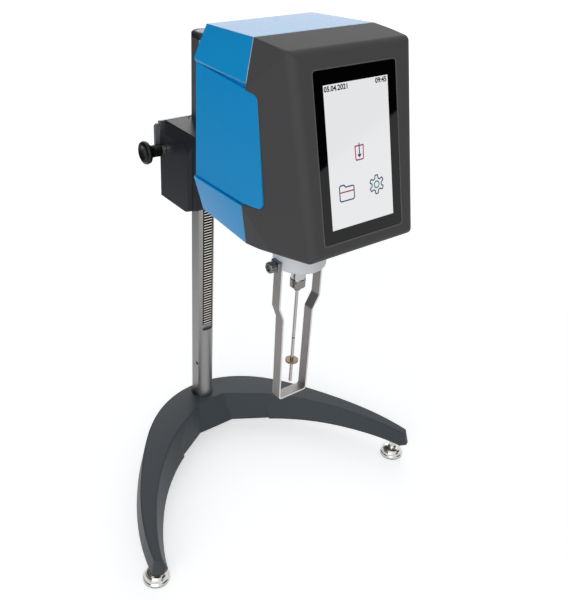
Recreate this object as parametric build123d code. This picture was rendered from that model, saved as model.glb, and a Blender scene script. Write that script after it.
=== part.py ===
from build123d import *
import math
import os

# ---------------------------------------------------------------- driving dimensions, mm
# The working frame has the column axis at x = 0, y = 0 and the bench at z = 0.
# The instrument faces -Y.  FRAME_SHIFT moves everything along Y on export, so that
# the origin sits under the middle of the overall box.
FRAME_SHIFT = 107.07

RUN_FIT = 0.05            # radial clearance of a running fit
AIR = 0.5                 # air gap between faces that move past each other
SEAT = 0.15               # gap of a loose seat between fixed pieces

# base casting: a crescent swept through radial sections about (0, SWEEP_Y)
SWEEP_Y = -110.0
TIP_ANGLE = 115.5         # degrees from straight back
STATIONS = 8              # sections on each side of the middle one
OUTER_R = (125.1, -13.5, 10.8, -0.9)
INNER_R = (84.8, 4.8, 4.6)
TOP_Z = (53.6, -4.1, 0.2)
UNDER_Z = (20.4, 1.7, -0.15)
OUTER_DRAFT = (6.2, -0.5)
INNER_DRAFT = (11.5, -1.0)
TIP_FLARE = 4.0           # the tip's cone carries on this far above and below the leg
RECESS_X = 17.5           # flat in the inner wall in front of the column
RECESS_Y = -18.8
RECESS_RUN_X = 55.0
RECESS_RUN_Y = -42.0
RECESS_SLOPE = 0.40       # how far the flat comes forward per mm of depth

# levelling feet
FOOT_X = 161.0
FOOT_Y = -169.3
FOOT_R = 13.0
SOLE_H = 1.6
RIM_H = 3.2
DOME_H = 8.0
NECK_R = 5.0
NECK_H = 4.0
STUD_R = 4.0
STUD_POINT = 0.8
RIM_ROUND = 1.0
DOME_STEPS = 5            # cone bands of the dome
FOOT_TRAVEL = 3.0         # the stud can turn this much further in
STUD_GRIP = 8.0           # how far a stud reaches into the casting

# column, rack and cap
COLUMN_R = 11.7
COLUMN_FLAT = 9.6
COLUMN_FOOT_Z = 33.0
COLUMN_TOP_Z = 468.0
SLOT_W = 12.2
SLOT_Y = -5.6
SLOT_FOOT_Z = 147.5
RACK_W = 11.0
RACK_FOOT_Z = 154.7
RACK_TIP_Y = -10.2
MODULE = 1.0
PRESSURE_ANGLE = 20.0
CROSS_HOLE_Y = -3.5
CROSS_HOLE_Z = 99.9
CROSS_HOLE_R = 2.2
CAP_H = 6.0
DISC_SINK = 0.8            # the light disc on the cap lies in a shallow seat
CAP_DISC_R = 7.0
COLLAR_R = 12.6
COLLAR_H = 0.8
SET_SCREW_Z = (38.5, 47.5)
SET_SCREW_R = 3.0
SET_SCREW_LEN = 6.5
HEX_R = 1.5                # hexagon socket of the small screws
HEX_DEPTH = 1.6

# clamp block on the column
BLOCK_X = 35.0            # half width of the core
PAD_X = 38.0              # half width over the raised sides
BLOCK_REAR_Y = 19.6
BLOCK_FRONT_Y = -42.0
BLOCK_FOOT_Z = 310.0
BLOCK_TOP_Z = 390.4
REAR_CHAMFER_Y = 7.4
REAR_CHAMFER_Z = 9.9
NOSE_Y = -27.0            # the underside rises from here to the front
NOSE_RISE = 5.6
BAND_TOP = 12.9           # sloping band along the top of each raised side
BAND_START_Y = -35.0      # and along its front
BAND_FRONT = 3.0
BAND_CORNER_R = 9.0
BUSH_SINK = 1.0
BUSH_R = 15.0
BUSH_H = 12.0
PINION_TEETH = 18
PINION_Z = 334.0
PINION_W = 10.0
PINION_SHAFT_R = 4.0
PINION_REACH = 24.0       # the pinion's shaft ends this far left of the middle
KNOB_Y = 11.0
KNOB_Z = 362.2
KNOB_R = 11.5
KNOB_LEN = 19.5
STEM_R = 6.2
STUD_SHOW = 4.8
KNOB_STUD_R = 3.0
KNOB_GRIP = 9.0           # the stud reaches this far into the knob
KNOB_DISH = 1.7
BRAKE_OUT_X = 19.0         # outer face of the brake pad
BRAKE_Y0 = 1.0
BRAKE_Y1 = 16.0
BRAKE_H = 10.0
HEIGHT_KNOB_R = 18.0
HEIGHT_KNOB_LEN = 20.0
PLATE_HALF = 43.0
PLATE_T = 3.0
PLATE_TOP_Z = 385.8
PLATE_STEP = 2.2          # the plate is this much taller between its ears
PLATE_EAR = 5.0
PLATE_FOOT_Z = 355.6
PLATE_CORNER_R = 4.0
PLATE_SCREW_X = 28.0
PLATE_SCREW_Z = (361.0, 379.0)
SMALL_SCREW_R = 2.0
SMALL_HEAD_R = 3.6
SMALL_HEAD_H = 3.2
ROD_Z = 369.0
ROD_R = 8.0
ROD_END_Y = -14.0
ROD_FLANGE_R = 17.0
ROD_FLANGE_T = 5.0
ROD_BOSS_H = 6.0
ROD_BOSS_WALL = 3.0
FLANGE_SCREWS = 4
FLANGE_SCREW_R = 1.7
FLANGE_CIRCLE_R = 13.5

# instrument head
SPINDLE_Y = -160.5
JOIN_Y = -160.5           # where the rear housing meets the front shell
REAR_Y = -88.7
FACE_Y = -223.0           # front face, at FACE_Z
FACE_Z = 430.8
FACE_TILT = 13.8
WALL = 2.6
REAR_TOP_X = 54.3
REAR_TOP_Z = 503.8
JOIN_RISE = 5.9           # the casings' top climbs this much to where they meet
REAR_SIDE_X = 66.0
REAR_HIP_Z = 478.7
REAR_FLARE_X = 66.6
REAR_KNEE_Z = 376.4
REAR_FOOT_X = 56.5
REAR_FOOT_Z = 342.4
JOIN_TOP_X = 59.9
JOIN_TOP_Z = REAR_TOP_Z + JOIN_RISE
JOIN_SIDE_X = 66.0
JOIN_HIP_Z = 473.0
JOIN_KNEE_Z = 377.0
JOIN_FOOT_X = 60.0
JOIN_FOOT_Z = 340.6
SIDE_TAPER = 0.135        # the shell's sides close in by this much per mm forward
TOP_FALL = 0.03
UNDER_RISE = 0.17
EDGE_R = 8.0
JOIN_EASE = 0.7            # eased edge of the rear casing where it meets the front one
PANEL_X = 64.6
PANEL_T = 2.4
PANEL_TOP_Z = 475.0
PANEL_FOOT_Z = 376.6
PANEL_LIP = 0.8
PANEL_NOSE_Y = -173.2     # upper front corner of the side panel
PANEL_NOSE_Z = 470.5
PANEL_CHIN_Y = -186.5     # lower front corner
PANEL_CHIN_Z = 382.5
PANEL_CORNER_R = 6.0

# display, measured along the front face from its centre point
GLASS_W = 82.4
GLASS_H = 130.8
GLASS_T = 1.6
GLASS_SINK = 0.2
GLASS_R = 2.6
GLASS_DROP = 0.3
LCD_W = 64.8
LCD_H = 109.5
LCD_T = 3.0
BOARD_W = 78.0
BOARD_H = 118.0
BOARD_T = 1.6
BOARD_AIR = 1.0
HOUSING_SCREW_X = (46.0, 44.0)
HOUSING_SCREW_Z = (352.0, 492.0)
HOUSING_SCREW_R = 1.6
HOUSING_HEAD_R = 3.2
HOUSING_HEAD_H = 1.8

# fittings in the rear wall
INLET_X = -32.0
INLET_Z = 402.0
INLET_W = 27.0
INLET_H = 20.0
INLET_RIM = 2.5
INLET_WALL = 1.5
PORT_X = 28.0
PORT_S = 12.0
PORT_WALL = 1.4
PORT_DEPTH = 12.0
SWITCH_X = -32.0
SWITCH_Z = 436.0
SWITCH_W = 19.0
SWITCH_H = 13.0
SWITCH_RIM = 1.5
SWITCH_WALL = 1.2
SOCKET_DEPTH = 15.0
POWER_BOARD_W = 96.0
POWER_BOARD_TOP_Z = 470.0

# drive column inside the head
RING_R = 24.4
RING_BORE = 17.0
DECK_Z = 352.0            # underside of the chassis plate
RING_FOOT_Z = DECK_Z - 47.0
RING_EDGE = 3.0           # rounding of its lower edge
NOSE_HOUSE_R = 9.0        # slim nose of the bearing carrier above the ring
NOSE_HOUSE_H = 26.0
NOSE_HOUSE_BORE = 4.0     # the bearing's thickness around the shaft
BEARING_LIFT = 16.0
BEARING_H = 7.0
DISC_HUB_GAP = 3.0        # both shafts end this far from the spring's level
NUT_GRIP = 4.0            # the nut holds this much of the shaft
DECK_T = 3.0
DECK_X = 50.0
DECK_FRONT = 34.0         # reach of the plate in front of the drive axis
DECK_REAR = 60.0          # and behind it
PILLAR_R = 3.0
PILLAR_X = 22.0
BRIDGE_T = 3.0
BRIDGE_X = 27.0
GEARBOX_Z = DECK_Z + 46.0
GEARBOX_H = 16.0
GEARBOX_R = 20.0
MOTOR_S = 42.0
MOTOR_H = 36.0
MOTOR_CORNER = 4.0
SHAFT_R = 3.0
ENCODER_R = 15.0
SPRING_Z = DECK_Z + 32.0
PIVOT_R = 2.0
NUT_R = 7.25
NUT_FOOT_Z = RING_FOOT_Z - 28.1
NUT_H = 13.0
CUP_R = 6.9
CUP_H = 11.0
WIRE_R = 1.6
GROOVE_Z = NUT_FOOT_Z - 53.7
DISC_Z = NUT_FOOT_Z - 80.4
DISC_R = 6.35
DISC_T = 1.7
SPINDLE_TIP_Z = NUT_FOOT_Z - 105.9

# guard leg
LEG_W = 11.0
LEG_T = 1.5
LEG_TOP_X = 24.2          # outer face of the upper legs
LEG_KNEE_X = (18.9, 17.0) # outer faces of the left and right legs below their bend
LEG_LOW_X = 17.0          # outer face of both legs at the foot
LEG_TOP_Z = RING_FOOT_Z + 9.0
BEND_TOP_Z = RING_FOOT_Z - 39.7
BEND_LOW_Z = RING_FOOT_Z - 53.3
LEG_FOOT_Z = RING_FOOT_Z - 147.4
LEG_CORNER_R = 3.4
LEG_CLAMP_X = 28.2
LEG_SCREW_Z = RING_FOOT_Z + 4.2
LEG_SCREW_R = 1.5
LEG_SCREW_HEAD_X = 35.0
LEG_SCREW_HEAD_R = 5.2

made = {}


def put(name, shape):
    """Move a finished sub-part into the export frame and write it."""
    placed = Pos(0, FRAME_SHIFT, 0) * shape
    made[name] = placed
    export_step(placed, "parts/" + name + ".step")
    return placed


def even(terms, angle):
    """Even polynomial in an angle, so both sides of the sweep match."""
    return sum(term * angle ** (2 * i) for i, term in enumerate(terms))


def turned(profile, x=0.0, y=0.0):
    """Solid of revolution about a vertical axis from (radius, z) corners."""
    outline = make_face(Polyline(*[(r, 0, z) for r, z in profile], close=True))
    return Pos(x, y, 0) * revolve(outline, Axis.Z, 360)


def bar(length, radius):
    """Round bar that stands on the origin."""
    return Cylinder(radius, length, align=(Align.CENTER, Align.CENTER, Align.MIN))


def rod_x(x0, x1, radius, y, z):
    """Round bar along X, from x0 up to x1."""
    return Pos(x0, y, z) * Rot(0, 90, 0) * bar(x1 - x0, radius)


def rod_y(y0, y1, radius, x, z):
    """Round bar along Y, from y0 up to y1."""
    return Pos(x, y0, z) * Rot(-90, 0, 0) * bar(y1 - y0, radius)


def rod_z(z0, z1, radius, x=0.0, y=0.0):
    """Round bar along Z, from z0 up to z1."""
    return Pos(x, y, z0) * bar(z1 - z0, radius)


def box(x0, x1, y0, y1, z0, z1):
    """Box between two corners."""
    middle = Pos((x0 + x1) / 2, (y0 + y1) / 2, (z0 + z1) / 2)
    return middle * Box(x1 - x0, y1 - y0, z1 - z0)


def yz_plate(corners, x0, x1):
    """Plate from (y, z) corners, between two X positions."""
    face = make_face(Polyline(*[(x0, y, z) for y, z in corners], close=True))
    return extrude(face, x1 - x0, dir=(1, 0, 0))


def xz_plate(corners, y0, y1):
    """Plate from (x, z) corners, between two Y positions."""
    face = make_face(Polyline(*[(x, y0, z) for x, z in corners], close=True))
    return extrude(face, y1 - y0, dir=(0, 1, 0))


def softened(shape, edges, radius):
    """Fillet, stepping the radius down until it holds."""
    for share in (1.0, 0.75, 0.5, 0.3):
        try:
            result = fillet(edges, radius * share)
            if result.is_valid:
                return result
        except Exception:
            continue
    return shape


def chamfered(shape, edges, size):
    """Chamfer, stepping the size down until it holds."""
    for share in (1.0, 0.6, 0.3):
        try:
            result = chamfer(edges, size * share)
            if result.is_valid:
                return result
        except Exception:
            continue
    return shape


# ---------------------------------------------------------------- stand
def base_section(angle):
    """One drafted section of the crescent, in the radial plane at this angle."""
    outer = even(OUTER_R, angle)
    inner = even(INNER_R, angle)
    top = even(TOP_Z, angle)
    under = even(UNDER_Z, angle)
    outer_foot = outer + even(OUTER_DRAFT, angle)
    inner_foot = inner - even(INNER_DRAFT, angle)
    corners = [(outer, top), (inner, top), (inner_foot, under), (outer_foot, under)]
    points = [(r * math.sin(angle), SWEEP_Y + r * math.cos(angle), z) for r, z in corners]
    return make_face(Polyline(*points, close=True))


def recess_cutter():
    """Wedge that leaves the sloping flat in front of the column."""
    levels = []
    top = TOP_Z[0]
    for z in (top + 6, UNDER_Z[0] - 6):
        forward = (top - z) * RECESS_SLOPE
        spread = forward * 0.4
        front = RECESS_RUN_Y - 50
        outline = [
            (-RECESS_RUN_X - spread, RECESS_RUN_Y - forward),
            (-RECESS_X - spread, RECESS_Y - forward),
            (RECESS_X + spread, RECESS_Y - forward),
            (RECESS_RUN_X + spread, RECESS_RUN_Y - forward),
            (RECESS_RUN_X + spread, front),
            (-RECESS_RUN_X - spread, front),
        ]
        levels.append(make_face(Polyline(*[(x, y, z) for x, y in outline], close=True)))
    return loft(levels, ruled=True)


def radial_point(angle, radius, z):
    """Point of the crescent at this angle from straight back."""
    return (radius * math.sin(angle), SWEEP_Y + radius * math.cos(angle), z)


def tip_trim(side):
    """What rounds the end of a leg: a block around it, less a cone that follows the drafted walls."""
    end = math.radians(TIP_ANGLE)
    foot_out = even(OUTER_R, end) + even(OUTER_DRAFT, end)
    foot_in = even(INNER_R, end) - even(INNER_DRAFT, end)
    angle = end - (foot_out - foot_in) / (foot_out + foot_in)
    top_out = even(OUTER_R, angle)
    top_in = even(INNER_R, angle)
    foot_out = top_out + even(OUTER_DRAFT, angle)
    foot_in = top_in - even(INNER_DRAFT, angle)
    top_z = even(TOP_Z, angle)
    foot_z = even(UNDER_Z, angle)
    share = TIP_FLARE / (top_z - foot_z)
    discs = []
    for level in (-share, 1 + share):
        inner = foot_in + (top_in - foot_in) * level
        outer = foot_out + (top_out - foot_out) * level
        centre = radial_point(angle, (inner + outer) / 2, foot_z + (top_z - foot_z) * level)
        discs.append(Pos(*centre) * Circle((outer - inner) / 2))
    keep = loft(discs)
    reach = foot_out - foot_in
    around = Pos(*radial_point(angle, (foot_in + foot_out) / 2, foot_z)) * Rot(0, 0, -math.degrees(angle))
    block = around * (Pos(reach, 0, 0) * Box(2 * reach, 4 * reach, 4 * reach))
    trim = block - keep
    return trim if side > 0 else mirror(trim, Plane.YZ)


def foot_places():
    """Centre of each foot and the height of the casting's underside there."""
    angle = math.atan2(FOOT_X, FOOT_Y - SWEEP_Y)
    side = even(UNDER_Z, angle)
    return [(-FOOT_X, FOOT_Y, side), (FOOT_X, FOOT_Y, side), (0.0, 0.0, UNDER_Z[0])]


def base_casting():
    end = math.radians(TIP_ANGLE)
    angles = [end * i / STATIONS for i in range(-STATIONS, STATIONS + 1)]
    body = loft([base_section(a) for a in angles])
    body = body - recess_cutter()
    for side in (-1, 1):
        body = body - tip_trim(side)
    body = body - rod_z(COLUMN_FOOT_Z, TOP_Z[0] + 1, COLUMN_R + SEAT)
    for x, y, under in foot_places():
        body = body - rod_z(-1, under + STUD_GRIP + FOOT_TRAVEL, STUD_R + RUN_FIT, x, y)
    for z in SET_SCREW_Z:
        body = body - rod_y(COLUMN_R - 1, 40, SET_SCREW_R, 0, z)
    return body


def column():
    body = rod_z(COLUMN_FOOT_Z, COLUMN_TOP_Z, COLUMN_R)
    body = body & box(-COLUMN_FLAT, COLUMN_FLAT, -20, 20, 0, 600)
    body = body - box(-SLOT_W / 2, SLOT_W / 2, -20, SLOT_Y, SLOT_FOOT_Z, 600)
    return body - rod_x(-2 * COLUMN_R, -COLUMN_FLAT / 2, CROSS_HOLE_R, CROSS_HOLE_Y, CROSS_HOLE_Z)


def rack_strip():
    pitch = math.pi * MODULE
    slope = math.tan(math.radians(PRESSURE_ANGLE))
    root_y = RACK_TIP_Y + 2.25 * MODULE
    half_tip = pitch / 4 - MODULE * slope
    half_root = pitch / 4 + 1.25 * MODULE * slope
    count = int((COLUMN_TOP_Z - 2 - RACK_FOOT_Z) / pitch)
    corners = [(SLOT_Y, RACK_FOOT_Z), (root_y, RACK_FOOT_Z)]
    for i in range(count):
        z = RACK_FOOT_Z + pitch * (i + 0.5)
        corners += [(root_y, z - half_root), (RACK_TIP_Y, z - half_tip)]
        corners += [(RACK_TIP_Y, z + half_tip), (root_y, z + half_root)]
    top = RACK_FOOT_Z + pitch * count
    corners += [(root_y, top), (SLOT_Y, top)]
    cleaned = []
    for corner in corners:
        if not cleaned or math.dist(corner, cleaned[-1]) > 1e-4:
            cleaned.append(corner)
    return yz_plate(cleaned, -RACK_W / 2, RACK_W / 2)


def column_cap():
    body = rod_z(COLUMN_TOP_Z, COLUMN_TOP_Z + CAP_H, COLUMN_R)
    body = body & box(-COLUMN_FLAT, COLUMN_FLAT, -20, 20, 0, 600)
    body = chamfered(body, body.faces().sort_by(Axis.Z)[-1].edges(), 1.6)
    return body - rod_z(COLUMN_TOP_Z + CAP_H - DISC_SINK, COLUMN_TOP_Z + CAP_H + 1, CAP_DISC_R)


def cap_disc():
    return rod_z(COLUMN_TOP_Z + CAP_H - DISC_SINK, COLUMN_TOP_Z + CAP_H, CAP_DISC_R)


def column_collar():
    """Low sealing ring round the foot of the column."""
    top = TOP_Z[0]
    bore = COLUMN_R + SEAT
    return turned([(bore, top), (COLLAR_R, top), (COLLAR_R, top + COLLAR_H * 0.5), (bore, top + COLLAR_H)])


def set_screws():
    screws = []
    for z in SET_SCREW_Z:
        outside = COLUMN_R + SET_SCREW_LEN
        screw = rod_y(COLUMN_R, outside, SET_SCREW_R, 0, z)
        screws.append(screw - rod_y(outside - HEX_DEPTH, outside + 1, HEX_R, 0, z))
    return Compound(screws)


def foot(x, y, under):
    """Chromed domed pad with its threaded stud, one turned piece."""
    tip = under + STUD_GRIP
    brim = SOLE_H + RIM_H
    crown = brim + DOME_H
    rise = FOOT_R - RIM_ROUND - NECK_R
    profile = [(0, SOLE_H), (FOOT_R, SOLE_H), (FOOT_R, brim - RIM_ROUND)]
    for i in range(DOME_STEPS + 1):
        swing = math.pi / 2 * i / DOME_STEPS
        profile.append((NECK_R + rise * math.cos(swing), brim + DOME_H * 0.8 * math.sin(swing)))
    profile += [(NECK_R, crown), (STUD_R, crown + NECK_R - STUD_R), (STUD_R, tip - STUD_POINT),
                (STUD_R - STUD_POINT, tip), (0, tip)]
    return turned(profile, x, y)


def foot_sole(x, y):
    taper = SOLE_H / 2
    return turned([(0, 0), (FOOT_R - taper, 0), (FOOT_R, taper), (FOOT_R, SOLE_H), (0, SOLE_H)], x, y)


# ---------------------------------------------------------------- carriage
def pinion_place():
    """Pitch radius and axis Y of the rack pinion."""
    pitch_r = MODULE * PINION_TEETH / 2
    return pitch_r, RACK_TIP_Y + MODULE - pitch_r - 0.05


def rear_shoulder():
    """The block's rear upper corners, as (y, z)."""
    return [(BLOCK_REAR_Y, BLOCK_TOP_Z - REAR_CHAMFER_Z), (BLOCK_REAR_Y - REAR_CHAMFER_Y, BLOCK_TOP_Z)]


def rounded_side(x, corners, corner, radius):
    """Side outline at x, from (y, z) corners, with one corner rounded."""
    face = make_face(Polyline(*[(x, y, z) for y, z in corners], close=True))
    chosen = [v for v in face.vertices() if math.dist((v.Y, v.Z), corner) < 0.01]
    return fillet(chosen, radius)


def raised_side(side):
    """Side of the block: a flat whose top and front edges slope in."""
    low = BLOCK_FOOT_Z
    flat_top = BLOCK_TOP_Z - BAND_TOP
    flat_front = BAND_START_Y + BAND_FRONT
    outer_corner = (BAND_START_Y, BLOCK_TOP_Z)
    inner_corner = (flat_front, flat_top)
    outer = [(BLOCK_REAR_Y, low), *rear_shoulder(), outer_corner, (BAND_START_Y, low)]
    inner = [(BLOCK_REAR_Y, low), (BLOCK_REAR_Y, flat_top), (BLOCK_REAR_Y - BAND_FRONT, flat_top),
             inner_corner, (flat_front, low)]
    face0 = rounded_side(BLOCK_X * side, outer, outer_corner, BAND_CORNER_R + BAND_FRONT)
    face1 = rounded_side(PAD_X * side, inner, inner_corner, BAND_CORNER_R)
    return loft([face0, face1], ruled=True)


def clamp_block():
    pitch_r, axis_y = pinion_place()
    low = BLOCK_FOOT_Z
    side_view = [(BLOCK_REAR_Y, low), *rear_shoulder(), (BLOCK_FRONT_Y, BLOCK_TOP_Z), (BLOCK_FRONT_Y, low)]
    body = yz_plate(side_view, -BLOCK_X, BLOCK_X)
    for side in (-1, 1):
        body = body + raised_side(side)
    slope = NOSE_RISE / (NOSE_Y - BLOCK_FRONT_Y)
    nose = [(NOSE_Y, low), (NOSE_Y + 1, low - 1), (BLOCK_FRONT_Y - 1, low - 1),
            (BLOCK_FRONT_Y - 1, low + NOSE_RISE + slope)]
    body = body - yz_plate(nose, -PAD_X - 1, PAD_X + 1)
    body = body - rod_z(low - 1, BLOCK_TOP_Z + 1, COLUMN_R + AIR)
    seat = BUSH_H + BUSH_SINK
    for z0, z1 in ((low - 1, low + seat), (BLOCK_TOP_Z - seat, BLOCK_TOP_Z + 1)):
        body = body - rod_z(z0, z1, BUSH_R)
    outer_r = pitch_r + MODULE + AIR
    body = body - rod_x(-PINION_W / 2 - AIR, PINION_W / 2 + AIR, outer_r, axis_y, PINION_Z)
    body = body - rod_x(-PINION_REACH - AIR, PAD_X + 1, PINION_SHAFT_R + RUN_FIT, axis_y, PINION_Z)
    body = body - rod_x(-PAD_X - 1, -BRAKE_OUT_X, KNOB_STUD_R + RUN_FIT, KNOB_Y, KNOB_Z)
    body = body - brake_room(SEAT)
    return body - rod_y(BLOCK_FRONT_Y - 1, ROD_END_Y + AIR, ROD_R + RUN_FIT, 0, ROD_Z)


def guide_bush(z0, z1):
    """Split bush with the column's section, pressed into the block."""
    body = rod_z(z0, z1, BUSH_R)
    hole = rod_z(z0 - 1, z1 + 1, COLUMN_R + RUN_FIT)
    hole = hole & box(-COLUMN_FLAT - RUN_FIT, COLUMN_FLAT + RUN_FIT, -30, 30, z0 - 1, z1 + 1)
    return body - hole


def brake_room(gap):
    """Space of the brake pad, grown by a gap away from the column."""
    half = BRAKE_H / 2 + gap
    return box(-BRAKE_OUT_X - gap, -COLUMN_FLAT, BRAKE_Y0 - gap, BRAKE_Y1 + gap, KNOB_Z - half, KNOB_Z + half)


def brake_pad():
    """Pad that the lock knob presses against the column's flat."""
    return brake_room(0)


def plate_screw_places():
    return [(x, z) for x in (-PLATE_SCREW_X, PLATE_SCREW_X) for z in PLATE_SCREW_Z]


def rear_plate():
    """Cover plate behind the block, taller between its two ears."""
    y0 = BLOCK_REAR_Y
    y1 = BLOCK_REAR_Y + PLATE_T
    body = box(-PLATE_HALF, PLATE_HALF, y0, y1, PLATE_FOOT_Z, PLATE_TOP_Z)
    body = softened(body, body.edges().filter_by(Axis.Y), PLATE_CORNER_R)
    crown = PLATE_HALF - PLATE_EAR
    raised = box(-crown, crown, y0, y1, PLATE_TOP_Z - PLATE_CORNER_R, PLATE_TOP_Z + PLATE_STEP)
    upper = raised.edges().filter_by(Axis.Y).sort_by(Axis.Z)[-2:]
    body = body + softened(raised, upper, PLATE_STEP * 0.8)
    for x, z in plate_screw_places():
        body = body - rod_y(y0 - 1, y1 + 1, SMALL_SCREW_R + SEAT, x, z)
    return body


def plate_screws():
    screws = []
    y = BLOCK_REAR_Y + PLATE_T
    for x, z in plate_screw_places():
        screw = rod_y(BLOCK_REAR_Y, y, SMALL_SCREW_R, x, z) + rod_y(y, y + SMALL_HEAD_H, SMALL_HEAD_R, x, z)
        screws.append(screw - rod_y(y + SMALL_HEAD_H - HEX_DEPTH, y + SMALL_HEAD_H + 1, HEX_R, x, z))
    return Compound(screws)


def clamp_knob():
    """Moulded mushroom knob, turned about its own axis and laid along X."""
    length = KNOB_LEN
    lip = length * 0.15
    waist = STEM_R - 0.2
    profile = [(0, KNOB_DISH), (KNOB_R * 0.35, KNOB_DISH * 0.8), (KNOB_R * 0.6, 0.1), (KNOB_R * 0.76, 0)]
    profile += [(KNOB_R * 0.94, lip * 0.35), (KNOB_R, lip)]
    profile += [(KNOB_R * 0.95, lip * 1.8), (KNOB_R * 0.72, lip * 2.4)]
    profile += [(STEM_R + 0.4, lip * 2.8), (waist, lip * 3.7), (STEM_R, length - 0.6), (STEM_R - 0.6, length)]
    profile += [(KNOB_STUD_R, length), (KNOB_STUD_R, length - KNOB_GRIP), (0, length - KNOB_GRIP)]
    return Pos(-PAD_X - STUD_SHOW - length, KNOB_Y, KNOB_Z) * Rot(0, 90, 0) * turned(profile)


def clamp_stud():
    start = -PAD_X - STUD_SHOW - KNOB_GRIP
    body = rod_x(start, -BRAKE_OUT_X, KNOB_STUD_R, KNOB_Y, KNOB_Z)
    nut = rod_x(-PAD_X - STUD_SHOW, -PAD_X - AIR, KNOB_STUD_R + 1.4, KNOB_Y, KNOB_Z)
    return body + nut


def gear_profile(teeth, module, phase):
    """Outline of a spur gear with involute flanks, its teeth turned by phase."""
    pitch_r = module * teeth / 2
    base_r = pitch_r * math.cos(math.radians(PRESSURE_ANGLE))
    tip_r = pitch_r + module
    root_r = pitch_r - 1.25 * module
    inv = math.tan(math.radians(PRESSURE_ANGLE)) - math.radians(PRESSURE_ANGLE)
    half = math.pi / (2 * teeth) - 0.012
    points = []
    for i in range(teeth):
        centre = phase + 2 * math.pi * i / teeth
        flank = []
        for step in range(5):
            radius = max(base_r, root_r) + (tip_r - max(base_r, root_r)) * step / 4
            roll = math.acos(min(1.0, base_r / radius))
            flank.append((radius, half + inv - (math.tan(roll) - roll)))
        lower = [(root_r, flank[0][1] + 0.02)] + flank
        points += [(r, centre - a) for r, a in lower]
        points += [(r, centre + a) for r, a in reversed(lower)]
    return [(r * math.cos(a), r * math.sin(a)) for r, a in points]


def pinion_gear():
    """Pinion in mesh: a tooth gap faces the rack tooth nearest to its axis."""
    pitch_r, axis_y = pinion_place()
    pitch = math.pi * MODULE
    offset = (PINION_Z - RACK_FOOT_Z) / pitch - 0.5
    shift = (round(offset) - offset) * pitch
    gap_angle = shift / pitch_r
    phase = gap_angle + math.pi / PINION_TEETH
    corners = [(axis_y + a, PINION_Z + b) for a, b in gear_profile(PINION_TEETH, MODULE, phase)]
    body = yz_plate(corners, -PINION_W / 2, PINION_W / 2)
    return body - rod_x(-20, 20, PINION_SHAFT_R, axis_y, PINION_Z)


def pinion_shaft():
    pitch_r, axis_y = pinion_place()
    return rod_x(-PINION_REACH, PAD_X + HEIGHT_KNOB_LEN * 0.6, PINION_SHAFT_R, axis_y, PINION_Z)


def height_knob():
    """Fluted hand knob on the pinion shaft."""
    pitch_r, axis_y = pinion_place()
    start = PAD_X + AIR
    body = rod_x(start + 4, start + HEIGHT_KNOB_LEN, HEIGHT_KNOB_R, axis_y, PINION_Z)
    body = chamfered(body, body.edges().filter_by(GeomType.CIRCLE), 1.5)
    body = body + rod_x(start, start + 4.1, HEIGHT_KNOB_R * 0.55, axis_y, PINION_Z)
    for i in range(12):
        swing = 2 * math.pi * i / 12
        y = axis_y + (HEIGHT_KNOB_R + 2.2) * math.cos(swing)
        z = PINION_Z + (HEIGHT_KNOB_R + 2.2) * math.sin(swing)
        body = body - rod_x(start + 3, start + HEIGHT_KNOB_LEN + 1, 3.4, y, z)
    return body - rod_x(0, PAD_X + HEIGHT_KNOB_LEN * 0.6, PINION_SHAFT_R, axis_y, PINION_Z)


# ---------------------------------------------------------------- head casings
def face_point(u, v, depth=0.0):
    """Point on the tilted front face: u across, v up the face, depth inwards."""
    tilt = math.radians(FACE_TILT)
    y = FACE_Y + v * math.sin(tilt) + depth * math.cos(tilt)
    z = FACE_Z + v * math.cos(tilt) - depth * math.sin(tilt)
    return (u, y, z)


def face_plane(depth=0.0):
    """Plane on the front face, its normal pointing out of the instrument."""
    tilt = math.radians(FACE_TILT)
    return Plane(origin=face_point(0, 0, depth), x_dir=(1, 0, 0), z_dir=(0, -math.cos(tilt), math.sin(tilt)))


def face_slab(width, height, corner, depth0, depth1, drop=0.0):
    """Rounded slab parallel to the front face, between two depths."""
    sketch = RectangleRounded(width, height, corner) if corner > 0 else Rectangle(width, height)
    outline = face_plane(depth0) * Pos(-drop, 0, 0) * sketch
    return extrude(outline, -(depth1 - depth0))


def half_space(point, direction):
    """Large block on the far side of a plane."""
    size = 2 * JOIN_TOP_Z
    return Plane(origin=point, z_dir=direction) * Pos(0, 0, size / 2) * Box(size, size, size)


def shell_form(inset, rounding):
    """Outer or inner form of the front shell."""
    tilt = math.radians(FACE_TILT)
    reach = FACE_Y - (JOIN_TOP_Z - JOIN_FOOT_Z) * math.tan(tilt)
    run = JOIN_Y - reach
    side_view = [
        (JOIN_Y, JOIN_FOOT_Z + inset),
        (reach, JOIN_FOOT_Z + inset + UNDER_RISE * run),
        (reach, JOIN_TOP_Z - inset - TOP_FALL * run),
        (JOIN_Y, JOIN_TOP_Z - inset),
    ]
    body = yz_plate(side_view, -JOIN_SIDE_X - 1, JOIN_SIDE_X + 1)
    body = body - half_space(face_point(0, 0, inset), (0, -math.cos(tilt), math.sin(tilt)))
    for side in (-1, 1):
        body = body - half_space((side * (JOIN_SIDE_X - inset), JOIN_Y, FACE_Z), (side, -SIDE_TAPER, 0))
    if rounding:
        front = body.faces().sort_by(Axis.Y)[0]
        body = softened(body, front.edges(), rounding)
        long_edges = [e for e in body.edges() if abs(e.tangent_at(0.5).Y) > 0.9 and e.length > rounding * 3]
        corners = [e for e in long_edges if abs(e.center().X) > JOIN_SIDE_X * 0.8]
        body = softened(body, corners, rounding * 0.5)
    return body & xz_plate(join_outline(inset), reach, JOIN_Y)


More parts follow.
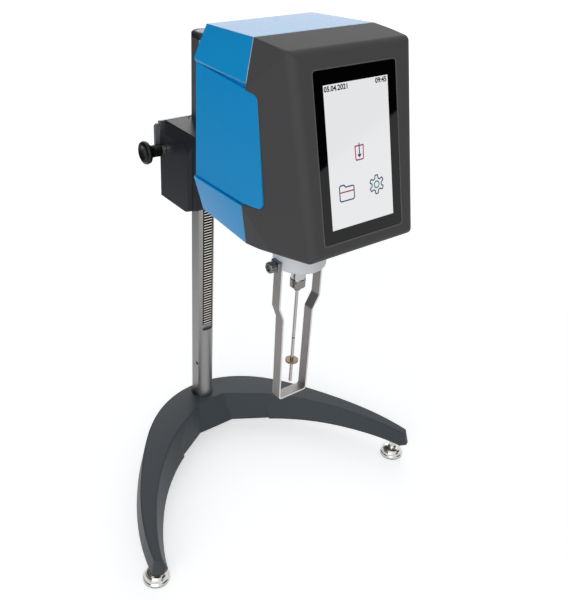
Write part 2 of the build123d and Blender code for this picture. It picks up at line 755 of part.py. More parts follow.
def join_outline(inset):
    """Outline of the head where its two casings meet."""
    lean = inset * 0.9
    half = [(JOIN_TOP_X - lean, JOIN_TOP_Z - inset), (JOIN_SIDE_X - inset, JOIN_HIP_Z),
            (JOIN_SIDE_X - inset, JOIN_KNEE_Z), (JOIN_FOOT_X - lean, JOIN_FOOT_Z + inset)]
    return half + [(-x, z) for x, z in reversed(half)]


def rear_outline(inset):
    lean = inset * 0.9
    half = [(REAR_TOP_X - lean, REAR_TOP_Z - inset), (REAR_SIDE_X - inset, REAR_HIP_Z),
            (REAR_FLARE_X - inset, REAR_KNEE_Z), (REAR_FOOT_X - lean, REAR_FOOT_Z + inset)]
    return half + [(-x, z) for x, z in reversed(half)]


def panel_outline(gap):
    """Side panel seen from the side, as (y, z) corners."""
    return [(REAR_Y, PANEL_FOOT_Z - gap), (REAR_Y, PANEL_TOP_Z + gap),
            (PANEL_NOSE_Y - gap, PANEL_NOSE_Z + gap), (PANEL_CHIN_Y - gap, PANEL_CHIN_Z - gap),
            (JOIN_Y, PANEL_FOOT_Z + 1.0 - gap)]


def panel_solid(gap, x0, x1):
    corners = panel_outline(gap)
    face = make_face(Polyline(*[(x0, y, z) for y, z in corners], close=True))
    front = [v for v in face.vertices() if v.Y < JOIN_Y - 5]
    face = fillet(front, PANEL_CORNER_R + gap)
    return extrude(face, x1 - x0, dir=(1, 0, 0))


def side_panel(side):
    body = panel_solid(0, PANEL_X - PANEL_T, PANEL_X)
    body = chamfered(body, body.faces().sort_by(Axis.X)[-1].edges(), 0.5)
    return body if side > 0 else mirror(body, Plane.YZ)


def ring_room():
    return rod_z(200, DECK_Z, RING_R + SEAT, 0, SPINDLE_Y)


def outline_loft(stages):
    """Solid between (x, z) outlines at two stations, each given as (y, outline)."""
    return loft([make_face(Polyline(*[(x, y, z) for x, z in outline], close=True)) for y, outline in stages],
                ruled=True)


def inside_width():
    """What keeps the side panels' seats solid: the hollow is no wider than this."""
    half = PANEL_X - PANEL_T - WALL
    return box(-half, half, FACE_Y * 2, 0, 0, JOIN_TOP_Z)


def rear_housing():
    outer = outline_loft(((REAR_Y, rear_outline(0)), (JOIN_Y, join_outline(0))))
    joint = [e for e in outer.edges() if abs(e.center().Y - JOIN_Y) < 0.01 and e.center().Z > JOIN_HIP_Z - 1]
    outer = chamfered(outer, joint, JOIN_EASE)
    inner = outline_loft(((REAR_Y - WALL, rear_outline(WALL)), (JOIN_Y - 1, join_outline(WALL))))
    body = outer - (inner & inside_width())
    seat_x = PANEL_X - PANEL_T
    beyond = PANEL_X + JOIN_SIDE_X - seat_x
    for side in (-1, 1):
        notch = [(seat_x, PANEL_FOOT_Z - SEAT), (seat_x, PANEL_TOP_Z + SEAT), (PANEL_X, PANEL_TOP_Z + SEAT),
                 (beyond, PANEL_TOP_Z + 2 * (beyond - PANEL_X)), (beyond, PANEL_FOOT_Z - SEAT)]
        notch = [(side * x, z) for x, z in notch]
        body = body - xz_plate(notch, JOIN_Y - 5, REAR_Y + 5)
    body = body - ring_room()
    for room in rear_rooms():
        body = body - room
    return body


def front_shell():
    outer = shell_form(0, EDGE_R)
    inner = shell_form(WALL, 0)
    body = outer - (inner & inside_width())
    seat_x = PANEL_X - PANEL_T
    for side in (-1, 1):
        room = panel_solid(SEAT, seat_x, 2 * PANEL_X)
        body = body - (room if side > 0 else mirror(room, Plane.YZ))
    body = body - ring_room()
    gap = 2 * SEAT
    seat = GLASS_SINK + GLASS_T
    body = body - face_slab(GLASS_W + gap, GLASS_H + gap, GLASS_R + SEAT, -GLASS_T, seat, GLASS_DROP)
    return body - face_slab(LCD_W + gap, LCD_H + gap, 0, 0, seat + 4 * WALL)


def wall_room(x, z, width, height):
    """Rectangular opening through the rear wall."""
    inside = REAR_Y - 3 * WALL
    return box(x - width / 2, x + width / 2, inside, REAR_Y + 1, z - height / 2, z + height / 2)


def rear_rooms():
    """Openings in the rear wall for the rod, inlet, port, switch and screws."""
    rooms = [rod_y(REAR_Y - 3 * WALL, REAR_Y + 1, ROD_R * 0.75 + SEAT, 0, ROD_Z)]
    rooms.append(wall_room(INLET_X, INLET_Z, INLET_W, INLET_H))
    rooms.append(wall_room(PORT_X, INLET_Z, PORT_S, PORT_S))
    rooms.append(wall_room(SWITCH_X, SWITCH_Z, SWITCH_W, SWITCH_H))
    for x, z in housing_screw_places():
        rooms.append(rod_y(REAR_Y - 6 * HOUSING_SCREW_R, REAR_Y + 1, HOUSING_SCREW_R + SEAT / 2, x, z))
    return rooms


def housing_screw_places():
    return [(side * x, z) for x, z in zip(HOUSING_SCREW_X, HOUSING_SCREW_Z) for side in (-1, 1)]


def housing_screws():
    screws = []
    for x, z in housing_screw_places():
        screw = rod_y(REAR_Y - 6 * HOUSING_SCREW_R, REAR_Y, HOUSING_SCREW_R, x, z)
        screw = screw + rod_y(REAR_Y, REAR_Y + HOUSING_HEAD_H, HOUSING_HEAD_R, x, z)
        screws.append(screw - rod_y(REAR_Y + HOUSING_HEAD_H / 2, REAR_Y + HOUSING_HEAD_H + 1, HEX_R, x, z))
    return Compound(screws)


def rimmed_socket(x, z, half_w, half_h, rim, rim_t, depth, wall):
    """Rectangular socket body in the rear wall: rim outside, open towards the rear."""
    def piece(grow, y0, y1):
        return box(x - half_w - grow, x + half_w + grow, y0, y1, z - half_h - grow, z + half_h + grow)

    body = piece(0, REAR_Y - depth - wall, REAR_Y) + piece(rim, REAR_Y, REAR_Y + rim_t)
    return body - piece(-wall, REAR_Y - depth, REAR_Y + rim_t + 1)


def power_inlet():
    """Mains inlet: rim, socket and three flat pins."""
    body = rimmed_socket(INLET_X, INLET_Z, INLET_W / 2 - SEAT, INLET_H / 2 - SEAT, INLET_RIM, INLET_WALL,
                         SOCKET_DEPTH, INLET_WALL)
    pin_x = INLET_W * 0.26
    pin_z = INLET_H * 0.1
    for x, z in ((-pin_x, -pin_z), (0, pin_z), (pin_x, -pin_z)):
        body = body + box(INLET_X + x - 1, INLET_X + x + 1, REAR_Y - SOCKET_DEPTH, REAR_Y - SOCKET_DEPTH / 3,
                          INLET_Z + z - 2, INLET_Z + z + 2)
    return body


def data_port():
    half = PORT_S / 2 - SEAT
    body = rimmed_socket(PORT_X, INLET_Z, half, half, 0, PORT_WALL / 2, PORT_DEPTH, PORT_WALL)
    tongue = PORT_S * 0.2
    return body + box(PORT_X - tongue, PORT_X + tongue, REAR_Y - PORT_DEPTH, REAR_Y - PORT_DEPTH / 2,
                      INLET_Z - PORT_WALL, INLET_Z + PORT_WALL)


def switch_frame():
    half_w = SWITCH_W / 2 - SEAT
    half_h = SWITCH_H / 2 - SEAT
    return rimmed_socket(SWITCH_X, SWITCH_Z, half_w, half_h, SWITCH_RIM, SWITCH_WALL, PORT_DEPTH, SWITCH_WALL)


def rocker():
    """Rocker of the switch, a wide V that turns about Z."""
    half_w = SWITCH_W / 2 - SEAT - SWITCH_WALL - 0.6
    half_h = SWITCH_H / 2 - SEAT - SWITCH_WALL - 0.4
    face = make_face(Polyline((-half_w, 0.6, 0), (0, -0.9, 0), (half_w, 0.6, 0), (half_w - 0.6, -4.5, 0),
                              (-half_w + 0.6, -4.5, 0), close=True))
    body = extrude(face, 2 * half_h, dir=(0, 0, 1))
    return Pos(SWITCH_X, REAR_Y + 2 * SWITCH_WALL, SWITCH_Z - half_h) * body


def mounting_rod():
    body = rod_y(REAR_Y, ROD_END_Y, ROD_R, 0, ROD_Z)
    return chamfered(body, body.edges().filter_by(GeomType.CIRCLE).sort_by(Axis.Y)[-1:], 1.0)


def flange_screw_places():
    places = []
    for i in range(FLANGE_SCREWS):
        swing = 2 * math.pi * i / FLANGE_SCREWS
        places.append((FLANGE_CIRCLE_R * math.cos(swing), ROD_Z + FLANGE_CIRCLE_R * math.sin(swing)))
    return places


def rod_flange():
    y1 = REAR_Y + ROD_FLANGE_T
    body = rod_y(REAR_Y, y1, ROD_FLANGE_R, 0, ROD_Z)
    body = body + rod_y(y1, y1 + ROD_BOSS_H, ROD_R + ROD_BOSS_WALL, 0, ROD_Z)
    body = body - rod_y(REAR_Y - 1, y1 + ROD_BOSS_H + 1, ROD_R, 0, ROD_Z)
    for x, z in flange_screw_places():
        body = body - rod_y(REAR_Y - 1, y1 + 1, FLANGE_SCREW_R + SEAT, x, z)
    return body


def flange_screws():
    y1 = REAR_Y + ROD_FLANGE_T
    screws = []
    for x, z in flange_screw_places():
        screw = rod_y(REAR_Y, y1, FLANGE_SCREW_R, x, z)
        screws.append(screw + rod_y(y1, y1 + FLANGE_SCREW_R, FLANGE_SCREW_R * 1.2, x, z))
    return Compound(screws)


# ---------------------------------------------------------------- display and electronics
def display_glass():
    return face_slab(GLASS_W, GLASS_H, GLASS_R, GLASS_SINK, GLASS_SINK + GLASS_T, GLASS_DROP)


def lcd_panel():
    start = GLASS_SINK + GLASS_T
    return face_slab(LCD_W, LCD_H, 0, start, start + LCD_T)


def display_board():
    """Circuit board behind the display, with its connector and chips."""
    front = GLASS_SINK + GLASS_T + LCD_T
    back = front + BOARD_T
    board = face_slab(BOARD_W, BOARD_H, BOARD_T, front, back)
    chips = ((0, 0.25, 0.23, 0.15, 1.2), (-0.28, -0.17, 0.15, 0.17, 1.1), (0.26, -0.25, 0.20, 0.09, 2.5),
             (0.23, 0.04, 0.13, 0.09, 1.0))
    for u, v, width, height, tall in chips:
        outline = Pos(u * BOARD_W, v * BOARD_H, 0) * Rectangle(width * BOARD_W, height * BOARD_H)
        board = board + extrude(face_plane(back) * outline, -tall * BOARD_T)
    return board


def chassis_plate():
    body = box(-DECK_X, DECK_X, SPINDLE_Y - DECK_FRONT, SPINDLE_Y + DECK_REAR, DECK_Z, DECK_Z + DECK_T)
    return body - rod_z(DECK_Z - 1, DECK_Z + DECK_T + 1, NOSE_HOUSE_R, 0, SPINDLE_Y)


def pillars():
    posts = []
    for x in (-PILLAR_X, PILLAR_X):
        for y in (-PILLAR_X, PILLAR_X):
            posts.append(rod_z(DECK_Z + DECK_T, GEARBOX_Z - BRIDGE_T, PILLAR_R, x, SPINDLE_Y + y))
    return Compound(posts)


def motor_bridge():
    z0 = GEARBOX_Z - BRIDGE_T
    body = box(-BRIDGE_X, BRIDGE_X, SPINDLE_Y - BRIDGE_X, SPINDLE_Y + BRIDGE_X, z0, GEARBOX_Z)
    return body - rod_z(z0 - 1, GEARBOX_Z + 1, 2 * SHAFT_R, 0, SPINDLE_Y)


def gearbox():
    body = rod_z(GEARBOX_Z, GEARBOX_Z + GEARBOX_H, GEARBOX_R, 0, SPINDLE_Y)
    return body - rod_z(GEARBOX_Z - 1, GEARBOX_Z + GEARBOX_H / 2 + AIR, SHAFT_R + RUN_FIT, 0, SPINDLE_Y)


def stepper_motor():
    z0 = GEARBOX_Z + GEARBOX_H
    z1 = z0 + MOTOR_H
    half = MOTOR_S / 2
    body = box(-half, half, SPINDLE_Y - half, SPINDLE_Y + half, z0, z1)
    body = chamfered(body, body.edges().filter_by(Axis.Z), MOTOR_CORNER)
    return body + rod_z(z1, z1 + MOTOR_CORNER * 0.4, half / 2, 0, SPINDLE_Y)


def power_board():
    """Supply board behind the rear wall, standing on the chassis plate, with its largest parts."""
    y = REAR_Y - SOCKET_DEPTH - 2 * INLET_WALL - BOARD_AIR
    front = y - BOARD_T
    foot = DECK_Z + DECK_T
    tall = POWER_BOARD_TOP_Z - foot
    board = box(-POWER_BOARD_W / 2, POWER_BOARD_W / 2, front, y, foot, POWER_BOARD_TOP_Z)
    parts = ((-0.33, 0.87, 0.25, 0.18, 8), (0.24, 0.83, 0.23, 0.19, 5), (-0.02, 0.5, 0.12, 0.3, 6))
    for x, z, width, height, deep in parts:
        half_w = width * POWER_BOARD_W / 2
        low = foot + (z - height / 2) * tall
        middle = x * POWER_BOARD_W
        high = low + height * tall
        board = board + box(middle - half_w, middle + half_w, front - deep * BOARD_T, front, low, high)
    return board


# ---------------------------------------------------------------- drive train
def bearing_ring():
    """Light ring under the head: a flanged bearing carrier with a rounded lower edge."""
    z0 = RING_FOOT_Z
    nose = z0 + NOSE_HOUSE_H
    inner = PIVOT_R + NOSE_HOUSE_BORE
    profile = [(RING_BORE, z0 + RING_EDGE / 3), (RING_BORE + RING_EDGE / 3, z0), (RING_R - RING_EDGE, z0)]
    for i in range(1, 5):
        swing = math.pi / 2 * i / 4
        profile.append((RING_R - RING_EDGE * (1 - math.sin(swing)), z0 + RING_EDGE * (1 - math.cos(swing))))
    profile += [(RING_R, DECK_Z), (NOSE_HOUSE_R, DECK_Z), (NOSE_HOUSE_R, nose), (inner, nose),
                (inner, z0 + BEARING_LIFT - 2), (RING_BORE, z0 + BEARING_LIFT - 2)]
    body = turned(profile, 0, SPINDLE_Y)
    seat_x = LEG_TOP_X - LEG_T
    half = LEG_W / 2 + SEAT
    for x0, x1 in ((-RING_R - 1, -seat_x), (seat_x, RING_R + 1)):
        body = body - box(x0, x1, SPINDLE_Y - half, SPINDLE_Y + half, z0 - 1, LEG_TOP_Z + SEAT)
    return body - rod_x(-RING_R - 1, -RING_BORE + 1, LEG_SCREW_R + RUN_FIT, SPINDLE_Y, LEG_SCREW_Z)


def pivot_bearing():
    z0 = RING_FOOT_Z + BEARING_LIFT
    return rod_z(z0, z0 + BEARING_H, PIVOT_R + NOSE_HOUSE_BORE, 0, SPINDLE_Y) - rod_z(
        z0 - 1, z0 + BEARING_H + 1, PIVOT_R + RUN_FIT, 0, SPINDLE_Y)


def pivot_shaft():
    """Slim shaft from the slotted disc down to the coupling, with its stepped cup."""
    top = SPRING_Z - DISC_HUB_GAP
    foot = NUT_FOOT_Z + NUT_H
    body = rod_z(foot - NUT_GRIP, top, PIVOT_R, 0, SPINDLE_Y)
    cup = [(0, foot), (CUP_R, foot), (CUP_R, foot + CUP_H - 2), (CUP_R - 2, foot + CUP_H), (0, foot + CUP_H)]
    return body + turned(cup, 0, SPINDLE_Y)


def slotted_disc(z, radius, hub_r, bore_r, hub_h):
    """Thin encoder disc with a ring of slots and a hub."""
    body = rod_z(z, z + 1.0, radius, 0, SPINDLE_Y) + rod_z(z, z + hub_h, hub_r, 0, SPINDLE_Y)
    body = body - rod_z(z - 1, z + hub_h + 1, bore_r, 0, SPINDLE_Y)
    for i in range(16):
        slot = Pos(radius - 2.6, 0, z) * Box(2.6, 1.1, 4)
        body = body - Pos(0, SPINDLE_Y, 0) * Rot(0, 0, 360 * i / 16) * slot
    return body


def pivot_disc():
    return slotted_disc(SPRING_Z - 18, ENCODER_R, 2.5 * PIVOT_R, PIVOT_R, 6.0)


def drive_disc():
    return slotted_disc(SPRING_Z + DISC_HUB_GAP, ENCODER_R, 2 * SHAFT_R, SHAFT_R, 5.0)


def drive_shaft():
    return rod_z(SPRING_Z + 1, GEARBOX_Z + 8, SHAFT_R, 0, SPINDLE_Y)


def torsion_spring():
    """Spiral ribbon between the drive disc's post and the pivot's collar."""
    turns = 3.5
    steps = 84
    inner_r = PIVOT_R + 1.6
    outer_r = ENCODER_R - 3.0
    thick = 0.35
    near = []
    far = []
    for i in range(steps + 1):
        angle = 2 * math.pi * turns * i / steps
        radius = inner_r + (outer_r - inner_r) * i / steps
        near.append(((radius - thick) * math.cos(angle), (radius - thick) * math.sin(angle), 0))
        far.append(((radius + thick) * math.cos(angle), (radius + thick) * math.sin(angle), 0))
    ribbon = extrude(make_face(Polyline(*(near + far[::-1]), close=True)), 2.4, dir=(0, 0, 1))
    end_x = far[-1][0]
    end_y = far[-1][1]
    swing = math.atan2(end_y, end_x)
    post_x = (outer_r + 0.2) * math.cos(swing)
    post_y = (outer_r + 0.2) * math.sin(swing)
    ribbon = ribbon + rod_z(0, 6.4, 1.0, post_x, post_y)
    return Pos(0, SPINDLE_Y, SPRING_Z - 3.4) * ribbon


def encoder_sensor():
    """Fork sensor that reads the two slotted discs."""
    x0 = ENCODER_R - 4
    z0 = DECK_Z + DECK_T
    body = box(x0, ENCODER_R + 7, SPINDLE_Y - 4, SPINDLE_Y + 4, z0, SPRING_Z - 11)
    body = body - box(x0 - 1, ENCODER_R + 1.2, SPINDLE_Y - 5, SPINDLE_Y + 5, SPRING_Z - 19.5, SPRING_Z - 15.0)
    return body


def coupling_nut():
    z0 = NUT_FOOT_Z
    profile = [(WIRE_R, z0), (3.2, z0), (3.4, z0 + 2.0), (NUT_R - 1.6, z0 + 3.0), (NUT_R, z0 + 4.2),
               (NUT_R, z0 + NUT_H - 1), (NUT_R - 0.6, z0 + NUT_H), (WIRE_R, z0 + NUT_H)]
    body = turned(profile, 0, SPINDLE_Y)
    body = body - rod_z(z0 + NUT_H - NUT_GRIP, z0 + NUT_H + 1, PIVOT_R, 0, SPINDLE_Y)
    keep = rod_z(z0, z0 + NUT_H, NUT_R - 1.2, 0, SPINDLE_Y)
    for i in range(2):
        flat = Pos(0, 0, z0 + NUT_H - 2.5) * Box(4 * NUT_R, 2.0, 3.2)
        notch = Pos(0, SPINDLE_Y, 0) * Rot(0, 0, 40 + 90 * i) * flat
        body = body - (notch - keep)
    return body


def spindle():
    """Disc spindle with its immersion groove, one turned piece."""
    top = NUT_FOOT_Z + NUT_H - NUT_GRIP
    profile = [(0, SPINDLE_TIP_Z), (WIRE_R * 0.7, SPINDLE_TIP_Z), (WIRE_R, SPINDLE_TIP_Z + 0.6),
               (WIRE_R, DISC_Z - DISC_T / 2), (DISC_R, DISC_Z - DISC_T / 2), (DISC_R, DISC_Z + DISC_T / 2),
               (WIRE_R, DISC_Z + DISC_T / 2), (WIRE_R, GROOVE_Z - 0.6), (WIRE_R - 0.5, GROOVE_Z - 0.3),
               (WIRE_R - 0.5, GROOVE_Z + 0.3), (WIRE_R, GROOVE_Z + 0.6), (WIRE_R, top), (0, top)]
    return turned(profile, 0, SPINDLE_Y)


# ---------------------------------------------------------------- guard leg
def leg_outline(side, inset):
    """Corners of one leg of the strap, from its top to its foot, as (x, z)."""
    knee = LEG_KNEE_X[0] if side < 0 else LEG_KNEE_X[1]
    lift = inset * math.tan(math.atan2(LEG_TOP_X - knee, BEND_TOP_Z - BEND_LOW_Z) / 2)
    corners = [(LEG_TOP_X - inset, LEG_TOP_Z + inset), (LEG_TOP_X - inset, BEND_TOP_Z + lift),
               (knee - inset, BEND_LOW_Z + lift), (LEG_LOW_X - inset, LEG_FOOT_Z + inset)]
    return [(side * x, z) for x, z in corners]


def leg_solid(inset, depth):
    """Filled outline of the strap, with its bends and foot corners rounded."""
    path = leg_outline(1, inset) + leg_outline(-1, inset)[::-1]
    body = xz_plate(path, SPINDLE_Y - depth, SPINDLE_Y + depth)
    upright = body.edges().filter_by(Axis.Y)
    foot = [e for e in upright if e.center().Z < LEG_FOOT_Z + inset + 1]
    body = softened(body, foot, LEG_CORNER_R - inset)
    bends = [e for e in body.edges().filter_by(Axis.Y) if BEND_LOW_Z - 2 < e.center().Z < BEND_TOP_Z + 3]
    return softened(body, bends, LEG_CORNER_R)


def guard_leg():
    """Bent strap: legs that step in below the head and join in a square foot."""
    body = leg_solid(0, LEG_W / 2) - leg_solid(LEG_T, LEG_W)
    return body - rod_x(-LEG_TOP_X - 1, 0, LEG_SCREW_R + RUN_FIT, SPINDLE_Y, LEG_SCREW_Z)


def guard_clamp():
    half = LEG_W / 2
    body = box(-LEG_CLAMP_X, -LEG_TOP_X, SPINDLE_Y - half, SPINDLE_Y + half, LEG_SCREW_Z - 5, LEG_TOP_Z)
    body = chamfered(body, body.faces().sort_by(Axis.X)[0].edges(), 0.6)
    return body - rod_x(-LEG_CLAMP_X - 1, 0, LEG_SCREW_R + RUN_FIT, SPINDLE_Y, LEG_SCREW_Z)


def guard_screw():
    """Thumbscrew that clamps the guard leg to the ring."""
    face = -LEG_CLAMP_X - 0.2
    body = rod_x(-LEG_SCREW_HEAD_X, face, LEG_SCREW_HEAD_R, SPINDLE_Y, LEG_SCREW_Z)
    body = chamfered(body, body.edges().filter_by(GeomType.CIRCLE), 0.7)
    grip = LEG_SCREW_HEAD_R + 0.3
    for i in range(12):
        swing = 2 * math.pi * i / 12
        y = SPINDLE_Y + grip * math.cos(swing)
        z = LEG_SCREW_Z + grip * math.sin(swing)
        body = body - rod_x(-LEG_SCREW_HEAD_X - 1, face + 1, 0.7, y, z)
    dish = LEG_SCREW_HEAD_R - 2.2
    body = body - rod_x(-LEG_SCREW_HEAD_X - 1, -LEG_SCREW_HEAD_X + 1.2, dish, SPINDLE_Y, LEG_SCREW_Z)
    return body + rod_x(face - 1, -RING_BORE - 1, LEG_SCREW_R, SPINDLE_Y, LEG_SCREW_Z)


def build():
    os.makedirs("parts", exist_ok=True)
    put("base_casting", base_casting())
    put("column", column())
    put("rack_strip", rack_strip())
    put("column_cap", column_cap())
    put("cap_disc", cap_disc())
    put("column_collar", column_collar())
    put("set_screws", set_screws())
    for name, (x, y, under) in zip(("left", "right", "rear"), foot_places()):
        put("foot_" + name, foot(x, y, under))
        put("sole_" + name, foot_sole(x, y))
    put("clamp_block", clamp_block())
    put("lower_bush", guide_bush(BLOCK_FOOT_Z + BUSH_SINK, BLOCK_FOOT_Z + BUSH_SINK + BUSH_H))
    put("upper_bush", guide_bush(BLOCK_TOP_Z - BUSH_SINK - BUSH_H, BLOCK_TOP_Z - BUSH_SINK))
    put("brake_pad", brake_pad())
    put("rear_plate", rear_plate())
    put("plate_screws", plate_screws())
    put("clamp_knob", clamp_knob())
    put("clamp_stud", clamp_stud())
    put("pinion_gear", pinion_gear())
    put("pinion_shaft", pinion_shaft())
    put("height_knob", height_knob())
    put("mounting_rod", mounting_rod())
    put("rod_flange", rod_flange())
    put("flange_screws", flange_screws())
    put("rear_housing", rear_housing())
    put("housing_screws", housing_screws())
    put("side_panel_left", side_panel(-1))
    put("side_panel_right", side_panel(1))
    put("front_shell", front_shell())
    put("display_glass", display_glass())
    put("lcd_panel", lcd_panel())
    put("display_board", display_board())
    put("chassis_plate", chassis_plate())
    put("pillars", pillars())
    put("motor_bridge", motor_bridge())
    put("gearbox", gearbox())
    put("stepper_motor", stepper_motor())
    put("power_board", power_board())
    put("power_inlet", power_inlet())
    put("data_port", data_port())
    put("switch_frame", switch_frame())
    put("rocker", rocker())
    put("bearing_ring", bearing_ring())
    put("pivot_bearing", pivot_bearing())
    put("encoder_sensor", encoder_sensor())
    put("drive_shaft", drive_shaft())
    put("drive_disc", drive_disc())
    put("torsion_spring", torsion_spring())
    put("pivot_shaft", pivot_shaft())
    put("pivot_disc", pivot_disc())
    put("coupling_nut", coupling_nut())
    put("spindle", spindle())
    put("guard_leg", guard_leg())
    put("guard_clamp", guard_clamp())
    put("guard_screw", guard_screw())


if __name__ == "__main__":
    build()
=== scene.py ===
"""Looks of a rotational viscometer: finishes, moulded detail, screen print and a studio."""

import math

import bmesh
import bpy
from bpy.props import FloatProperty, FloatVectorProperty, PointerProperty
from mathutils import Matrix, Vector


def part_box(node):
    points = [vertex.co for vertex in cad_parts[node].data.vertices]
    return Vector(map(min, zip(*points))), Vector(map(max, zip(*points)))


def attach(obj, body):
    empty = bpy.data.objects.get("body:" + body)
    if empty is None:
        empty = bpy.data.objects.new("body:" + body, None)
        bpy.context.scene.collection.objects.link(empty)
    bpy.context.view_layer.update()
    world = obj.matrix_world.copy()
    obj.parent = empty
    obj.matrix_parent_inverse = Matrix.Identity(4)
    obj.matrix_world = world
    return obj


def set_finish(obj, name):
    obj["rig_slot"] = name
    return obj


bl_info = {
    "name": "Rotational viscometer",
    "version": (1, 0, 0),
    "blender": (4, 5, 0),
    "location": "3D View > Sidebar > Viscometer",
    "description": "Dresses the viscometer's solids and sets up its studio",
    "category": "Object",
}

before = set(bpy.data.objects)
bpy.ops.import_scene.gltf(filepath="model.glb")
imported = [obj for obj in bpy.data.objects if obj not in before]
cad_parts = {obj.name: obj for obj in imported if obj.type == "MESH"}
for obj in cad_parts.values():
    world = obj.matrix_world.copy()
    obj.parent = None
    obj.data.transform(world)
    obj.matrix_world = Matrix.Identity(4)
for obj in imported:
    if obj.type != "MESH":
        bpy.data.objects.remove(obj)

MM = 0.001


# ---------------------------------------------------------------- places taken from the solids
def low(node):
    return Vector(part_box(node)[0])


def high(node):
    return Vector(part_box(node)[1])


def middle(node):
    return (low(node) + high(node)) / 2


def extent(node):
    """Outside size of a solid along X, Y and Z."""
    return high(node) - low(node)


SPINDLE_AXIS = middle("spindle")
COLUMN_AXIS = middle("column_cap")
STRAP_WIDE = extent("guard_leg").y
HOUSING_LIP = low("rear_housing").y
SHOULDER = high("side_panel_left").z

# The rack's crests face the user; its roots lie deeper along Y.
RACK_CREST = low("rack_strip").y
RACK_WIDE = extent("rack_strip").x

# Heights on the spindle, measured up from the end of its tail.
DISC_HEIGHT = low("spindle").z + 25.5 * MM
MARK_HEIGHT = low("spindle").z + 52.2 * MM

# The glass leans back with the front of the shell.
FACE_TILT = math.radians(13.8)
GLASS_CENTRE = middle("display_glass")
GLASS_THICK = 1.6 * MM
SCREEN_WIDE = 64.8 * MM
SCREEN_TALL = 109.5 * MM
SCREEN_DROP = 0.3 * MM


# ---------------------------------------------------------------- settings
def srgb(red, green, blue):
    """A colour picked on a screen, from 0 to 255, as Blender's linear values."""
    def linear(value):
        value = value / 255
        return value / 12.92 if value <= 0.04045 else ((value + 0.055) / 1.055) ** 2.4
    return (linear(red), linear(green), linear(blue))


def colour(name, description, default):
    return FloatVectorProperty(name=name, description=description, default=default,
                               subtype="COLOR", size=3, min=0, max=1)


def length(name, description, default):
    return FloatProperty(name=name, description=description, default=default, unit="LENGTH", min=0)


class ViscometerColours(bpy.types.PropertyGroup):
    """Colours of the painted, moulded and printed surfaces."""
    base: colour("Base", "Paint of the cast base", srgb(63, 69, 74))
    block: colour("Clamp block", "Paint of the block on the column", srgb(33, 35, 41))
    blue: colour("Blue housing", "Moulded rear housing and side panels", srgb(0, 149, 216))
    shell: colour("Front shell", "Textured front shell", srgb(76, 76, 77))
    knob: colour("Knobs", "Gloss plastic of the hand knobs", srgb(14, 14, 15))
    screen: colour("Screen", "Lit background of the screen", srgb(232, 233, 234))
    figures: colour("Figures", "Plain figures on the screen", srgb(18, 18, 30))
    outline: colour("Outlines", "Folder and gear outlines", srgb(28, 46, 120))
    accent: colour("Accent", "Beaker outline", srgb(190, 20, 96))
    teal: colour("Teal", "Hub of the gear outline", srgb(22, 140, 160))


class ViscometerSizes(bpy.types.PropertyGroup):
    """Sizes of the added detail."""
    print_lift: length("Print lift", "How far the screen picture stands off the glass", 0.04 * MM)
    stroke: length("Stroke", "Line width of the outlines on the screen", 1.05 * MM)
    figure_height: length("Figure height", "Height of the small figures on the screen", 3.9 * MM)
    edge_round: length("Edge round", "Soft edge of moulded and cast parts", 0.5 * MM)


class ViscometerStudio(bpy.types.PropertyGroup):
    """Camera, lamps and floor."""
    camera_place: FloatVectorProperty(name="Camera place", description="Where the camera stands", size=3,
                                      default=(-0.410177, -0.532353, 0.650180), subtype="TRANSLATION")
    camera_yaw: FloatProperty(name="Camera yaw", description="Heading of the camera, from +Y towards +X",
                              default=0.690242, subtype="ANGLE")
    camera_pitch: FloatProperty(name="Camera pitch", description="Tilt of the camera, up is positive",
                                default=-0.549531, subtype="ANGLE")
    camera_roll: FloatProperty(name="Camera roll", description="Roll of the camera about its line of sight",
                               default=0.067337, subtype="ANGLE")
    lens: FloatProperty(name="Lens", description="Focal length in mm on a 36 mm sensor", default=47.6436)
    ambient: FloatProperty(name="Ambient", description="Strength of the light from all around",
                           default=0.4, min=0)
    top: FloatProperty(name="Top lamp", description="Power of the large lamp above and behind",
                       default=3.8, min=0)
    side: FloatProperty(name="Side lamp", description="Power of the lamp on the left", default=8.0, min=0)
    back: FloatProperty(name="Back lamp", description="Power of the low lamp behind", default=3.9, min=0)
    fill: FloatProperty(name="Fill lamp", description="Power of the lamp in front", default=6.0, min=0)
    floor: colour("Floor", "Pale floor and backdrop", (0.80, 0.81, 0.83))
    floor_white: FloatProperty(name="Floor white", description="Lift towards white around the object",
                               default=0.52, min=0)
    far_white: FloatProperty(name="Far white", description="Lift towards white further out",
                             default=0.70, min=0)


# ---------------------------------------------------------------- shader expressions
NODE_STEP = 180
NODE_ROWS = 5

# The Mix node repeats its socket names for each data type, so its colour sockets go by number.
MIX_FACTOR, MIX_FIRST, MIX_SECOND, MIX_RESULT = 0, 6, 7, 2


class Wire:
    """A socket in a material that takes part in ordinary arithmetic."""

    def __init__(self, finish, socket):
        self.finish = finish
        self.socket = socket

    def math(self, operation, *values):
        return self.finish.node("ShaderNodeMath", {"operation": operation}, values)

    def __add__(self, other):
        return self.math("ADD", self, other)

    __radd__ = __add__

    def __sub__(self, other):
        return self.math("SUBTRACT", self, other)

    def __rsub__(self, other):
        return self.math("SUBTRACT", other, self)

    def __mul__(self, other):
        return self.math("MULTIPLY", self, other)

    __rmul__ = __mul__

    def __abs__(self):
        return self.math("ABSOLUTE", self)

    def above(self, other):
        return self.math("GREATER_THAN", self, other)

    def from_to(self, start, end):
        """0 at start, 1 at end, straight between and level beyond."""
        return self.finish.node("ShaderNodeMapRange", {"clamp": True},
                                {"Value": self, "From Min": start, "From Max": end})


